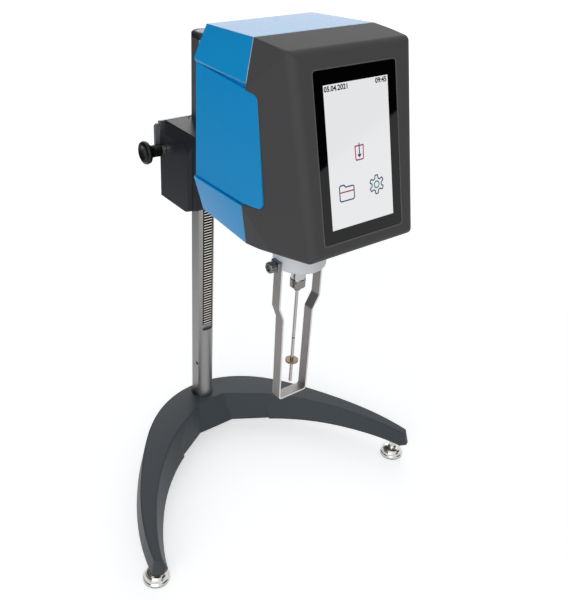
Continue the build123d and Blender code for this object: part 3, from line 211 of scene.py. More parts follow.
class Shading:
    """A node tree under construction."""

    def __init__(self, tree):
        self.tree = tree
        self.tree.nodes.clear()
        self.column = 0

    def node(self, kind, settings=None, sockets=None, out=0):
        """Makes a node, gives it its settings, then the values or links of its sockets."""
        made = self.tree.nodes.new(kind)
        made.location = (self.column * NODE_STEP, -(self.column % NODE_ROWS) * NODE_STEP)
        self.column += 1
        for key, value in (settings or {}).items():
            setattr(made, key, value)
        pairs = sockets.items() if isinstance(sockets, dict) else enumerate(sockets or ())
        for key, value in pairs:
            target = made.inputs[key]
            if isinstance(value, Wire):
                self.tree.links.new(value.socket, target)
            elif target.type == "RGBA" and len(value) == 3:
                target.default_value = (*value, 1.0)
            else:
                target.default_value = value
        return Wire(self, made.outputs[out]) if made.outputs else None

    def seen(self):
        """1 for what the camera, a reflection or a view through glass sees, otherwise 0."""
        rays = [self.node("ShaderNodeLightPath", out=kind)
                for kind in ("Is Camera Ray", "Is Glossy Ray", "Is Transmission Ray")]
        return rays[0].math("MAXIMUM", rays[0].math("MAXIMUM", rays[0], rays[1]), rays[2])


class Finish(Shading):
    """A material under construction: its nodes, its shader and its output."""

    def __init__(self, name):
        self.material = bpy.data.materials.new(name)
        self.material.use_nodes = True
        super().__init__(self.material.node_tree)

    def output(self, shader):
        """Ends the material with a shader of any kind."""
        self.node("ShaderNodeOutputMaterial", {}, {"Surface": shader})
        return self.material

    def place(self):
        return self.node("ShaderNodeTexCoord", out="Object")

    def along(self, axis):
        """One coordinate of the place, in metres."""
        return self.node("ShaderNodeSeparateXYZ", {}, (self.place(),), out="XYZ".index(axis))

    def stretched(self, scale):
        return self.node("ShaderNodeMapping", {}, {"Vector": self.place(), "Scale": scale})

    def noise(self, vector, scale, detail=2.0, rough=0.5):
        return self.node("ShaderNodeTexNoise", {}, {"Vector": vector, "Scale": scale, "Detail": detail,
                                                   "Roughness": rough}, out="Fac")

    def mix_colour(self, factor, first, second):
        """Goes from the first colour at 0 to the second at 1."""
        return self.node("ShaderNodeMix", {"data_type": "RGBA"},
                         {MIX_FACTOR: factor, MIX_FIRST: first, MIX_SECOND: second}, out=MIX_RESULT)

    def bump(self, height, distance, normal):
        return self.node("ShaderNodeBump", {}, {"Height": height, "Distance": distance,
                                                "Strength": 1.0, "Normal": normal})

    def rounded(self, radius):
        """Normals that read as a small round along every edge."""
        return self.node("ShaderNodeBevel", {"samples": 6}, {"Radius": radius})

    def surface(self, **sockets):
        """Ends the material with a Principled shader."""
        named = {key.replace("_", " "): value for key, value in sockets.items()}
        return self.output(self.node("ShaderNodeBsdfPrincipled", {}, named))


# ---------------------------------------------------------------- finishes
CLOUD = 9.0
BRUSHED_CLOUD = 26.0
POLISHED_CLOUD = 60.0
GRAIN = 2600.0
FINE_EDGE = 0.2 * MM
FINE_LINES = 0.006 * MM

# Directions of the fine lines, as scales of the noise: the small number is along the lines.
LINES_ALL = (900, 900, 900)
LINES_X = (60, 2600, 2600)
LINES_X_WIDE = (60, 2400, 2400)
LINES_X_RACK = (60, 2200, 2200)
LINES_Y = (2200, 60, 2200)
LINES_Z = (2600, 2600, 30)
LINES_Z_STRAP = (2600, 2600, 60)
CLOUD_STRAP = (320, 320, 120)
RINGS_TURNED = (60, 60, 5200)

# How far the marked parts of a finish reach.
# Width and fade of the painted highlight along the housing's lip.
LIP_HIGHLIGHT_WIDE = 0.5 * MM
LIP_HIGHLIGHT_FADE = 0.9 * MM
CUT_WIDE = 0.25 * MM
# Depths and width over which the rack's painted shade sets in.
CREST_DEEP = 0.03 * MM
ROOT_DEEP = 0.24 * MM
BESIDE_WIDE = 0.5 * MM
DISC_HALF = 1.2 * MM
# Half width of the painted shade in the spindle's groove.
GROOVE_SHADE_BAND = 0.5 * MM


def clouded(finish, rough):
    """Roughness that wanders a little over a large part."""
    return rough + 0.06 * (finish.noise(finish.place(), CLOUD) - 0.5)


def smooth_paint(name, tint, rough, edge, grain=0.0, coat=0.0, level=0.5):
    """Sprayed or moulded surface with a soft edge and a fine grain."""
    finish = Finish(name)
    normal = finish.rounded(edge)
    if grain:
        normal = finish.bump(finish.noise(finish.place(), GRAIN, 1.0), grain, normal)
    return finish.surface(Base_Color=tint, Roughness=clouded(finish, rough), Normal=normal,
                          Coat_Weight=coat, Coat_Roughness=0.25, Specular_IOR_Level=level)


def lip_highlight_plastic(name, tint, lip_highlight_tint, rough, edge, level):
    """Moulded housing with a painted highlight: a light band along its front lip, where it meets the shell.
    """
    finish = Finish(name)
    # Painted highlight: lighter along the front lip, and only above the shoulder, where the light falls.
    lip = 1 - finish.along("Y").from_to(HOUSING_LIP + LIP_HIGHLIGHT_WIDE, HOUSING_LIP + LIP_HIGHLIGHT_FADE)
    upper = finish.along("Z").above(SHOULDER)
    tone = finish.mix_colour(lip * upper, tint, lip_highlight_tint)
    return finish.surface(Base_Color=tone, Roughness=clouded(finish, rough),
                          Normal=finish.rounded(edge), Specular_IOR_Level=level)


def brushed_metal(name, tint, rough, scale, depth=0.01 * MM):
    """Bare metal with fine lines along the direction that scale stretches."""
    finish = Finish(name)
    lines = finish.noise(finish.stretched(scale), 1.0, 3.0, 0.6)
    broad = finish.noise(finish.place(), BRUSHED_CLOUD)
    return finish.surface(Base_Color=tint, Metallic=1.0,
                          Normal=finish.bump(lines, depth, finish.rounded(FINE_EDGE)),
                          Roughness=rough + 0.12 * (lines - 0.5) + 0.05 * (broad - 0.5))


def strap_metal(name, tint, cut_tint):
    """Rolled strap: cloudy mill finish on its faces, bright where its edges were cut."""
    finish = Finish(name)
    cloud = finish.noise(finish.stretched(CLOUD_STRAP), 1.0, 3.0, 0.65)
    lines = finish.noise(finish.stretched(LINES_Z_STRAP), 1.0, 2.0, 0.6)
    cut = abs(finish.along("Y") - SPINDLE_AXIS.y).above(STRAP_WIDE / 2 - CUT_WIDE)
    dull = [value * 0.72 for value in tint]
    bright = [min(1, value * 1.22) for value in tint]
    tone = finish.mix_colour(cut, finish.mix_colour(cloud, dull, bright), cut_tint)
    return finish.surface(Base_Color=tone, Metallic=1.0,
                          Roughness=0.40 + 0.22 * cloud + 0.10 * (lines - 0.5),
                          Normal=finish.bump(lines, FINE_LINES, finish.rounded(FINE_EDGE)))


def toothed_metal(name, tint, root_shade_tint):
    """Milled rack: bright on the crests, with painted shade, dark and dull, in the roots and beside the
    teeth.
    """
    finish = Finish(name)
    # Painted shade: darker, duller and less metallic towards the roots and in the gaps beside the teeth.
    root = finish.along("Y").from_to(RACK_CREST + CREST_DEEP, RACK_CREST + ROOT_DEEP)
    beside = abs(finish.along("X") - COLUMN_AXIS.x).above(RACK_WIDE / 2 - BESIDE_WIDE)
    depth = root.math("MAXIMUM", root, beside)
    lines = finish.noise(finish.stretched(LINES_X_RACK), 1.0, 2.0, 0.6)
    return finish.surface(Base_Color=finish.mix_colour(depth, tint, root_shade_tint),
                          Metallic=1.0 - 0.8 * depth, Roughness=0.30 + 0.3 * depth,
                          Normal=finish.bump(lines, FINE_LINES, finish.rounded(FINE_EDGE)))


def spindle_metal(name, tint, disc_tint, groove_shade_tint):
    """Turned spindle: plain wire, a darker disc and painted shade in the groove of the immersion mark."""
    finish = Finish(name)
    height = finish.along("Z")
    disc = 1 - abs(height - DISC_HEIGHT).above(DISC_HALF)
    # Painted shade: a dark band in the immersion groove.
    mark = 1 - abs(height - MARK_HEIGHT).above(GROOVE_SHADE_BAND)
    turned = finish.noise(finish.stretched(RINGS_TURNED), 1.0, 2.0, 0.5)
    tone = finish.mix_colour(mark, finish.mix_colour(disc, tint, disc_tint), groove_shade_tint)
    return finish.surface(Base_Color=tone, Metallic=1.0, Normal=finish.rounded(FINE_EDGE),
                          Roughness=0.16 + 0.22 * disc + 0.10 * (turned - 0.5))


def polished_metal(name, tint, rough):
    finish = Finish(name)
    cloud = finish.noise(finish.place(), POLISHED_CLOUD)
    return finish.surface(Base_Color=tint, Metallic=1.0, Roughness=rough + 0.04 * (cloud - 0.5),
                          Normal=finish.rounded(FINE_EDGE))


def plain_finish(name, tint, rough, level=0.5):
    return Finish(name).surface(Base_Color=tint, Roughness=rough, Specular_IOR_Level=level)


def circuit_board(name):
    """Green lacquered board with copper runs under the lacquer."""
    finish = Finish(name)
    runs = finish.node("ShaderNodeTexBrick", {"offset": 0.5}, {
        "Vector": finish.place(), "Scale": 210.0, "Color1": (0.02, 0.16, 0.07),
        "Color2": (0.03, 0.22, 0.09), "Mortar": (0.05, 0.30, 0.13), "Mortar Size": 0.04})
    return finish.surface(Base_Color=runs, Roughness=0.35)


def painted_finishes(colours, edge):
    """Paints, plastics and rubber of the record's slots."""
    return {
        "base_paint": smooth_paint("slate cast paint", colours.base, 0.46, 3.2 * MM, 0.012 * MM,
                                   level=0.3),
        "block_paint": smooth_paint("graphite block paint", colours.block, 0.36, 0.8 * MM,
                                    0.008 * MM, level=0.22),
        "housing_blue": smooth_paint("blue satin plastic", colours.blue, 0.26, 1.1 * MM,
                                     0.003 * MM, level=0.24),
        "shell_dark": smooth_paint("textured dark plastic", colours.shell, 0.56, 1.4 * MM,
                                   0.014 * MM, level=0.10),
        "ring_alloy": smooth_paint("anodised ring", srgb(228, 230, 232), 0.40, edge),
        "sole_rubber": plain_finish("sole rubber", srgb(28, 28, 28), 0.75),
        "knob_plastic": smooth_paint("gloss black plastic", colours.knob, 0.24, edge, coat=0.05,
                                     level=0.28),
        "cap_plastic": smooth_paint("matt black cap", srgb(26, 26, 27), 0.50, edge),
        # The grey of the cap's top disc is a painted reflection of the light above on the black cap.
        "cap_grey": smooth_paint("grey cap disc", srgb(176, 178, 180), 0.50, edge),
        "display_black": plain_finish("black glass", (0.0012, 0.0012, 0.0013), 0.03, 0.30),
        "lcd_white": plain_finish("screen cell", colours.screen, 0.3),
        "board_green": circuit_board("green circuit board"),
        "motor_black": smooth_paint("motor black", srgb(38, 38, 41), 0.45, edge),
        "socket_black": smooth_paint("socket black", srgb(30, 30, 31), 0.50, edge),
        "bush_nylon": plain_finish("bush nylon", srgb(44, 44, 45), 0.45),
    }


def metal_finishes():
    """Bare and plated metals of the record's slots."""
    return {
        "column_steel": brushed_metal("drawn stainless", srgb(146, 145, 144), 0.44, LINES_Z,
                                      depth=0.004 * MM),
        # The rack's near black second tint is the painted shade of its roots.
        "rack_steel": toothed_metal("milled rack steel", srgb(236, 231, 222), srgb(10, 9, 9)),
        "guard_steel": strap_metal("rolled strap steel", srgb(154, 152, 150), srgb(214, 212, 208)),
        "plate_steel": brushed_metal("plate steel", srgb(182, 183, 184), 0.46, LINES_X),
        "fastener_steel": brushed_metal("fastener steel", srgb(160, 160, 160), 0.32, LINES_ALL),
        "chrome": polished_metal("polished chrome", srgb(212, 210, 206), 0.20),
        "brass": polished_metal("turned brass", srgb(206, 168, 92), 0.22),
        "spring_copper": polished_metal("spring copper", srgb(198, 144, 104), 0.25),
        "chassis_alloy": brushed_metal("chassis alloy", srgb(176, 178, 180), 0.40, LINES_X_WIDE),
    }


def single_finishes(colours, edge):
    """Solids whose finish differs from the others in their slot, by node."""
    return {
        # The spindle's last tint is the painted shade in its groove.
        "spindle": spindle_metal("turned spindle", srgb(176, 172, 168), srgb(134, 120, 102),
                                 srgb(52, 46, 40)),
        # The rear housing's pale blue second tint is its painted lip highlight.
        "rear_housing": lip_highlight_plastic("blue lipped housing", colours.blue, srgb(176, 216, 240), 0.26,
                                       1.1 * MM, 0.24),
        "coupling_nut": polished_metal("turned nut", srgb(132, 130, 127), 0.24),
        "guard_screw": brushed_metal("knurled screw", srgb(118, 117, 116), 0.34, LINES_ALL),
        "guard_clamp": brushed_metal("clamp steel", srgb(122, 124, 128), 0.42, LINES_X_WIDE),
        "pivot_shaft": polished_metal("polished cup", srgb(184, 182, 180), 0.16),
        # The collar is tinted near black as painted shade for the recess where the column enters the base.
        "column_collar": smooth_paint("dark collar", srgb(34, 35, 37), 0.45, edge),
    }


class VISCOMETER_OT_finishes(bpy.types.Operator):
    """Gives every solid its paint, plastic, metal or glass"""
    bl_idname = "viscometer.finishes"
    bl_label = "Finishes"

    def execute(self, context):
        colours = context.scene.viscometer_colours
        edge = context.scene.viscometer_sizes.edge_round
        finishes = {**painted_finishes(colours, edge), **metal_finishes()}
        singles = single_finishes(colours, edge)
        for node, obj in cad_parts.items():
            slot = obj.get("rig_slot") or obj.data.materials[0].name.split(".")[0]
            if slot not in finishes:
                raise RuntimeError(f"no finish for {node}: {slot}")
            obj.data.materials[0] = singles.get(node, finishes[slot])
        return {"FINISHED"}


# ---------------------------------------------------------------- modelling helpers
MERGE = 0.01 * MM
INK_THICK = 0.02 * MM


def deselect():
    if bpy.context.object and bpy.context.object.mode != "OBJECT":
        bpy.ops.object.mode_set(mode="OBJECT")
    bpy.ops.object.select_all(action="DESELECT")


def pick(obj):
    """Makes a piece the only one selected."""
    deselect()
    obj.select_set(True)
    bpy.context.view_layer.objects.active = obj


def face_matrix(u=0.0, v=0.0, lift=0.0):
    """Place on the glass: u across, v up the tilted face, lift towards the user."""
    normal = Vector((0, -math.cos(FACE_TILT), math.sin(FACE_TILT)))
    upward = Vector((0, math.sin(FACE_TILT), math.cos(FACE_TILT)))
    place = GLASS_CENTRE + normal * (GLASS_THICK / 2 + lift) + upward * v + Vector((u, 0, 0))
    turn = Matrix((Vector((1, 0, 0)), upward, normal)).transposed()
    return Matrix.Translation(place) @ turn.to_4x4()


def settle(obj, name, place=None):
    """Puts the place into the mesh, names the piece and leaves its object at the origin."""
    pick(obj)
    if place is not None:
        obj.matrix_world = place @ obj.matrix_world
    bpy.ops.object.transform_apply(location=True, rotation=True, scale=True)
    obj.name = name
    obj.data.name = name
    return obj


def dress(obj, material, body, slot):
    """Gives a piece its finish, the body it moves with and its slot in the record."""
    obj.data.materials.clear()
    obj.data.materials.append(material)
    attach(obj, body)
    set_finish(obj, slot)
    return obj


def joined(objects, name):
    deselect()
    for obj in objects:
        obj.select_set(True)
    bpy.context.view_layer.objects.active = objects[0]
    bpy.ops.object.join()
    objects[0].name = name
    objects[0].data.name = name
    return objects[0]


def editing(obj, mode):
    """Opens a piece for editing with nothing selected."""
    pick(obj)
    bpy.ops.object.mode_set(mode="EDIT")
    bpy.ops.mesh.select_mode(type=mode)
    bpy.ops.mesh.select_all(action="DESELECT")
    return bmesh.from_edit_mesh(obj.data)


def done(obj):
    """Closes a piece after editing, its faces turned outwards."""
    bpy.ops.mesh.select_all(action="SELECT")
    bpy.ops.mesh.remove_doubles(threshold=MERGE)
    bpy.ops.mesh.normals_make_consistent(inside=False)
    bpy.ops.object.mode_set(mode="OBJECT")
    return obj


def applied(obj, kind, **settings):
    """Adds a modifier and applies it."""
    pick(obj)
    modifier = obj.modifiers.new(kind.lower(), kind)
    for key, value in settings.items():
        setattr(modifier, key, value)
    bpy.ops.object.modifier_apply(modifier=modifier.name)
    return obj


def plate(width, tall):
    """Flat sheet in its own plane, ready to be shaped."""
    deselect()
    bpy.ops.mesh.primitive_plane_add(size=1)
    obj = bpy.context.object
    obj.scale = (width, tall, 1)
    bpy.ops.object.transform_apply(location=False, rotation=False, scale=True)
    return obj


def slab(width, tall, thick):
    """Sheet raised to a block, still open for editing."""
    obj = plate(width, tall)
    editing(obj, "FACE")
    bpy.ops.mesh.select_all(action="SELECT")
    bpy.ops.mesh.extrude_region_move(TRANSFORM_OT_translate={"value": (0, 0, thick)})
    return obj


def flat_line(points, width, closed=False):
    """A drawn line of even width with round ends, flat in its own plane."""
    data = bpy.data.curves.new("line", "CURVE")
    data.dimensions = "2D"
    data.fill_mode = "NONE"
    data.resolution_u = 4
    spline = data.splines.new("POLY")
    spline.points.add(len(points) - 1)
    for point, (x, y) in zip(spline.points, points):
        point.co = (x, y, 0, 1)
    spline.use_cyclic_u = closed
    obj = bpy.data.objects.new("line", data)
    bpy.context.scene.collection.objects.link(obj)
    return thickened(obj, width)


def thickened(obj, width):
    """Turns a drawn curve into a flat ribbon mesh."""
    obj.data.bevel_depth = width / 2
    obj.data.bevel_resolution = 1
    obj.data.use_fill_caps = True
    pick(obj)
    bpy.ops.object.convert(target="MESH")
    obj.scale = (1, 1, INK_THICK / width)
    bpy.ops.object.transform_apply(location=False, rotation=False, scale=True)
    return obj


def arc(cx, cy, radius, start, end, steps=14):
    """Points on an arc, in degrees."""
    angles = [math.radians(start + (end - start) * i / steps) for i in range(steps + 1)]
    return [(cx + radius * math.cos(a), cy + radius * math.sin(a)) for a in angles]


def in_mm(points):
    return [(x * MM, y * MM) for x, y in points]


# ---------------------------------------------------------------- screen
TYPE_TO_FIGURE = 1.38
TYPE_WEIGHT = 0.045

# Places on the screen in mm from the middle of the glass, across and up.
BEAKER_AT = (-0.7, 0.2)
FOLDER_AT = (-15.7, -27.8)
GEAR_AT = (15.6, -27.8)
DATE_AT = (-31.8, 51.2)
TIME_AT = (31.2, 51.4)

FOLDER_HALF = 7.4
GEAR_TEETH = 6
GEAR_ROOT = 5.0
GEAR_TIP = 7.5
GEAR_HUB = 2.6


def figures(text, height, align):
    """Plain figures as a flat mesh."""
    deselect()
    bpy.ops.object.text_add()
    obj = bpy.context.object
    obj.data.body = text
    obj.data.size = height * TYPE_TO_FIGURE
    obj.data.align_x = align
    obj.data.align_y = "CENTER"
    obj.data.resolution_u = 3
    obj.data.offset = height * TYPE_WEIGHT
    pick(obj)
    bpy.ops.object.convert(target="MESH")
    return obj


def beaker_outline(width):
    """Small beaker, the sign for starting a test."""
    glass = [(-4.2, 5.6), (-3.9, -4.4), (-3.3, -5.2), (3.3, -5.2), (3.9, -4.4), (4.2, 5.6)]
    return [flat_line(in_mm(glass), width), flat_line(in_mm([(-4.6, 5.6), (4.6, 5.6)]), width)]


def stirrer_outline(width):
    """Arrow down into the beaker."""
    head = [(-1.8, -0.9), (0, -2.9), (1.8, -0.9)]
    return [flat_line(in_mm([(0, 7.8), (0, -2.4)]), width), flat_line(in_mm(head), width)]


def folder_outline(width):
    half, corner = FOLDER_HALF, FOLDER_HALF - 1.0
    front = [(-half, -5.2), (-half, 5.2), (-corner, 6.2), (-2.6, 6.2), (-1.2, 4.4), (corner, 4.4),
             (half, 3.4), (half, -5.2), (corner, -6.2), (-corner, -6.2)]
    return [flat_line(in_mm(front), width, closed=True)]


def folder_line(width):
    return [flat_line(in_mm([(-FOLDER_HALF, 0.7), (FOLDER_HALF, 0.7)]), width)]


def gear_outline(width):
    """Soft teeth round a hub."""
    flank = ((22, GEAR_ROOT), (17, GEAR_ROOT + 0.3), (12, GEAR_TIP - 0.4), (8, GEAR_TIP))
    tooth_line = [(-angle, radius) for angle, radius in flank] + list(reversed(flank))
    pitch = 360.0 / GEAR_TEETH
    points = []
    for tooth in range(GEAR_TEETH):
        for angle, radius in tooth_line:
            swing = math.radians((tooth + 0.5) * pitch + angle)
            points.append((radius * math.cos(swing), radius * math.sin(swing)))
    return [flat_line(in_mm(points), width, closed=True)]


def gear_hub(width):
    return [flat_line(arc(0, 0, GEAR_HUB * MM, 0, 336, 20), width, closed=True)]


def print_group(lines, name, place, material, sizes, layer):
    """Places a group of lines on the screen, place in mm from its middle, and dresses it."""
    obj = joined(lines, name) if len(lines) > 1 else lines[0]
    settle(obj, name, face_matrix(place[0] * MM, place[1] * MM, sizes.print_lift * (1 + layer)))
    return dress(obj, material, "head", "display_black")


def screen_light(tint):
    """White picture that glows a little, behind the same gloss as the glass."""
    shader = {"Base Color": (0.02, 0.02, 0.02), "Roughness": 0.06, "Emission Color": tint,
              "Emission Strength": 0.95, "Specular IOR Level": 0.32}
    finish = Finish("lit screen")
    return finish.output(finish.node("ShaderNodeBsdfPrincipled", {}, shader))


class VISCOMETER_OT_screen(bpy.types.Operator):
    """Lit screen with plain figures, a beaker, a folder and a gear"""
    bl_idname = "viscometer.screen"
    bl_label = "Screen picture"

    def execute(self, context):
        colours = context.scene.viscometer_colours
        sizes = context.scene.viscometer_sizes
        picture = plate(SCREEN_WIDE, SCREEN_TALL)
        settle(picture, "screen_picture", face_matrix(0, -SCREEN_DROP, sizes.print_lift))
        dress(picture, screen_light(colours.screen), "head", "lcd_white")
        ink = {name: plain_finish(f"print {name}", getattr(colours, name), 0.12)
               for name in ("figures", "outline", "accent", "teal")}
        stroke = sizes.stroke
        height = sizes.figure_height
        prints = (
            (beaker_outline(stroke), "beaker_sign", BEAKER_AT, "accent", 1),
            (stirrer_outline(stroke), "stirrer_sign", BEAKER_AT, "outline", 2),
            (folder_outline(stroke), "folder_sign", FOLDER_AT, "outline", 1),
            (folder_line(stroke), "folder_line", FOLDER_AT, "accent", 2),
            (gear_outline(stroke), "gear_sign", GEAR_AT, "outline", 1),
            (gear_hub(stroke), "gear_hub_sign", GEAR_AT, "teal", 2),
            ([figures("05.04.2021", height, "LEFT")], "left_figures", DATE_AT, "figures", 1),
            ([figures("09:45", height, "RIGHT")], "right_figures", TIME_AT, "figures", 1),
        )
        for lines, name, place, tint, layer in prints:
            print_group(lines, name, place, ink[tint], sizes, layer)
        return {"FINISHED"}


# ---------------------------------------------------------------- small fittings
BEZEL_GAP = 0.3 * MM
BEZEL_WIDE = 0.9 * MM
BEZEL_THICK = 0.16 * MM
BEZEL_CORNER = 3.4 * MM
BEZEL_LIFT = 0.14 * MM

THREAD_RADIUS = 2.95 * MM
THREAD_PITCH = 1.0 * MM
THREAD_DEPTH = 0.42 * MM
THREAD_START = 0.1 * MM
THREAD_STEPS = 20

# Width of the ridge at its foot as a share of the pitch, and of its crest as a share of its foot.
THREAD_FOOT = 0.9
THREAD_CREST = 0.15

# The rocker's two flanks fall away from its middle.
ROCKER_FALL = 1.5 * MM
MARK_STROKE = 0.7 * MM
MARK_HALF = 1.9
MARK_RING = 1.5
MARK_LIFT = 0.03 * MM

STOP_TALL = 7.0 * MM
STOP_PLAY = 0.9 * MM
STOP_SLOPE = 1.7 * MM
STOP_SEAM = 0.05 * MM
STOP_EDGE = 0.35 * MM

PORT_DEEP = 12.7 * MM
TONGUE_RISE = 1.4 * MM
CONTACTS = 4
CONTACT_PITCH = 1.1 * MM
CONTACT_WIDE = 0.6 * MM
CONTACT_LONG = 4.6 * MM
CONTACT_THICK = 0.16 * MM
CONTACT_EDGE = 0.05 * MM
CONTACT_SINK = 0.02 * MM
CONTACT_REACH = 2.6 * MM


def frame_strip(width, tall, corner, wide, thick):
    """Thin frame with rounded corners and eased edges, lying on its own plane."""
    obj = plate(width, tall)
    editing(obj, "VERT")
    bpy.ops.mesh.select_all(action="SELECT")
    bpy.ops.mesh.bevel(offset=corner, segments=5, affect="VERTICES")
    bpy.ops.mesh.select_mode(type="FACE")
    bpy.ops.mesh.select_all(action="SELECT")
    bpy.ops.mesh.inset(thickness=wide)
    bpy.ops.mesh.delete(type="FACE")
    done(obj)
    applied(obj, "SOLIDIFY", thickness=thick, offset=1.0)
    return applied(obj, "BEVEL", width=thick * 0.35, segments=2, limit_method="ANGLE")


def screw_thread(radius, pitch, turns, depth):
    """Helical ridge that stands on the origin and winds up Z."""
    obj = plate(depth, pitch * THREAD_FOOT)
    shape = editing(obj, "VERT")
    for vertex in shape.verts:
        vertex.select = vertex.co.x > 0
    shape.select_flush_mode()
    bpy.ops.transform.resize(value=(1, THREAD_CREST, 1))
    bpy.ops.mesh.select_all(action="SELECT")
    bpy.ops.transform.rotate(value=math.radians(90), orient_axis="X", center_override=(0, 0, 0))
    bpy.ops.transform.translate(value=(radius + depth / 2, 0, 0))
    bpy.ops.object.mode_set(mode="OBJECT")
    applied(obj, "SCREW", axis="Z", angle=2 * math.pi, screw_offset=pitch, iterations=turns,
            steps=THREAD_STEPS, render_steps=THREAD_STEPS, use_merge_vertices=False)
    editing(obj, "EDGE")
    bpy.ops.mesh.select_non_manifold()
    bpy.ops.mesh.edge_face_add()
    return done(obj)


class VISCOMETER_OT_bezel(bpy.types.Operator):
    """Eased bezel edge around the display glass"""
    bl_idname = "viscometer.bezel"
    bl_label = "Bezel edge"

    def execute(self, context):
        glass = extent("display_glass")
        tall = (glass.z - GLASS_THICK * math.sin(FACE_TILT)) / math.cos(FACE_TILT)
        margin = BEZEL_GAP + 2 * BEZEL_WIDE
        rim = frame_strip(glass.x + margin, tall + margin, BEZEL_CORNER, BEZEL_WIDE, BEZEL_THICK)
        settle(rim, "bezel_edge", face_matrix(0, 0, BEZEL_LIFT))
        finish = smooth_paint("bezel edge", srgb(92, 92, 93), 0.34, 0.1 * MM, level=0.4)
        dress(rim, finish, "head", "shell_dark")
        return {"FINISHED"}


class VISCOMETER_OT_threads(bpy.types.Operator):
    """Screw thread on the lock knob's stud"""
    bl_idname = "viscometer.threads"
    bl_label = "Threads"

    def execute(self, context):
        knob_end = high("clamp_knob").x
        stud = middle("clamp_knob")
        shown = low("clamp_block").x - knob_end
        turns = max(2, int(shown / THREAD_PITCH))
        thread = screw_thread(THREAD_RADIUS, THREAD_PITCH, turns, THREAD_DEPTH)
        start = Matrix.Translation((knob_end + THREAD_START, stud.y, stud.z))
        settle(thread, "lock_stud_thread", start @ Matrix.Rotation(math.radians(90), 4, "Y"))
        # The thread is tinted lighter than plain steel: a painted highlight that makes up for the knob's
        # shade on the stud.
        steel = polished_metal("cut thread", srgb(232, 231, 230), 0.3)
        dress(thread, steel, "lock_knob", "chrome")
        return {"FINISHED"}


class VISCOMETER_OT_switch_marks(bpy.types.Operator):
    """Plain on and off marks on the power rocker"""
    bl_idname = "viscometer.switch_marks"
    bl_label = "Switch marks"

    def execute(self, context):
        half = extent("rocker").x / 2
        slope = math.atan2(ROCKER_FALL, half)
        white = plain_finish("mark white", srgb(222, 222, 220), 0.4)
        on_line = flat_line(in_mm([(0, -MARK_HALF), (0, MARK_HALF)]), MARK_STROKE)
        off_ring = flat_line(arc(0, 0, MARK_RING * MM, 0, 345, 18), MARK_STROKE, closed=True)
        for name, piece, side in (("on_mark", on_line, 1), ("off_mark", off_ring, -1)):
            normal = Vector((-side * math.sin(slope), math.cos(slope), 0))
            upward = Vector((0, 0, 1))
            turn = Matrix((upward.cross(normal), upward, normal)).transposed().to_4x4()
            place = Vector((middle("rocker").x + side * half / 2, high("rocker").y - ROCKER_FALL / 2,
                            middle("rocker").z))
            settle(piece, name, Matrix.Translation(place + normal * MARK_LIFT) @ turn)
            dress(piece, white, "power_rocker", "knob_plastic")
        return {"FINISHED"}


class VISCOMETER_OT_rack_stop(bpy.types.Operator):
    """Plain steel stop that closes the slot below the rack"""
    bl_idname = "viscometer.rack_stop"
    bl_label = "Rack stop"

    def execute(self, context):
        back = high("rack_strip").y
        stop = slab(RACK_WIDE + STOP_PLAY, STOP_TALL, back - RACK_CREST)
        bpy.ops.mesh.select_all(action="DESELECT")
        bpy.ops.mesh.select_mode(type="EDGE")
        for edge in bmesh.from_edit_mesh(stop.data).edges:
            edge.select = all(v.co.z > 1 * MM and v.co.y < 0 for v in edge.verts)
        bpy.ops.transform.translate(value=(0, 0, -STOP_SLOPE))
        done(stop)
        applied(stop, "BEVEL", width=STOP_EDGE, segments=3, limit_method="ANGLE")
        middle_z = low("rack_strip").z - STOP_TALL / 2 - STOP_SEAM
        upright = Matrix.Rotation(math.radians(90), 4, "X")
        settle(stop, "rack_stop", Matrix.Translation((COLUMN_AXIS.x, back, middle_z)) @ upright)
        steel = brushed_metal("stop steel", srgb(172, 170, 166), 0.32, LINES_Y)
        dress(stop, steel, "stand", "rack_steel")
        return {"FINISHED"}


class VISCOMETER_OT_contacts(bpy.types.Operator):
    """Row of gilt contacts on the data port's tongue"""
    bl_idname = "viscometer.contacts"
    bl_label = "Port contacts"

    def execute(self, context):
        port = middle("data_port")
        contact_y = high("data_port").y - PORT_DEEP + CONTACT_REACH
        contact_z = port.z + TONGUE_RISE - CONTACT_SINK
        pieces = []
        for index in range(CONTACTS):
            contact = slab(CONTACT_WIDE, CONTACT_LONG, CONTACT_THICK)
            bpy.ops.mesh.bevel(offset=CONTACT_EDGE, segments=2, affect="EDGES")
            done(contact)
            contact_x = port.x + (index - (CONTACTS - 1) / 2) * CONTACT_PITCH
            settle(contact, f"contact_{index}", Matrix.Translation((contact_x, contact_y, contact_z)))
            pieces.append(contact)
        gilt = polished_metal("gilt contact", srgb(214, 178, 96), 0.2)
        dress(joined(pieces, "port_contacts"), gilt, "head", "brass")
        return {"FINISHED"}


# ---------------------------------------------------------------- studio
FLOOR_RADIUS = 14.0
FLOOR_NEAR = 0.6
FLOOR_FAR = 1.6
CLIP_START = 0.02

# Name, place, aim and size of each lamp, and the setting that holds its power.
LAMPS = (
    ("top_lamp", (0.87, 1.03, 1.34), (0, 0, 0.35), (1.5, 1.2), "top"),
    ("side_lamp", (-1.7, -0.9, 1.0), (0, 0, 0.3), (1.0, 1.2), "side"),
    ("back_lamp", (1.45, 1.75, 1.0), (0, 0, 0.42), (1.6, 0.9), "back"),
    ("fill_lamp", (-0.95, -1.25, 1.2), (0, 0, 0.36), (0.8, 0.8), "fill"),
)

# Lower corners of the card in front, which the upper glass mirrors.
CARD_LEFT = Vector((1.795, -2.488, 0.378))
CARD_RIGHT = Vector((2.091, -2.289, 0.542))
CARD_OVERHANG = 1.6
CARD_TALL = 2.2
BLACK = (0.0, 0.0, 0.0)

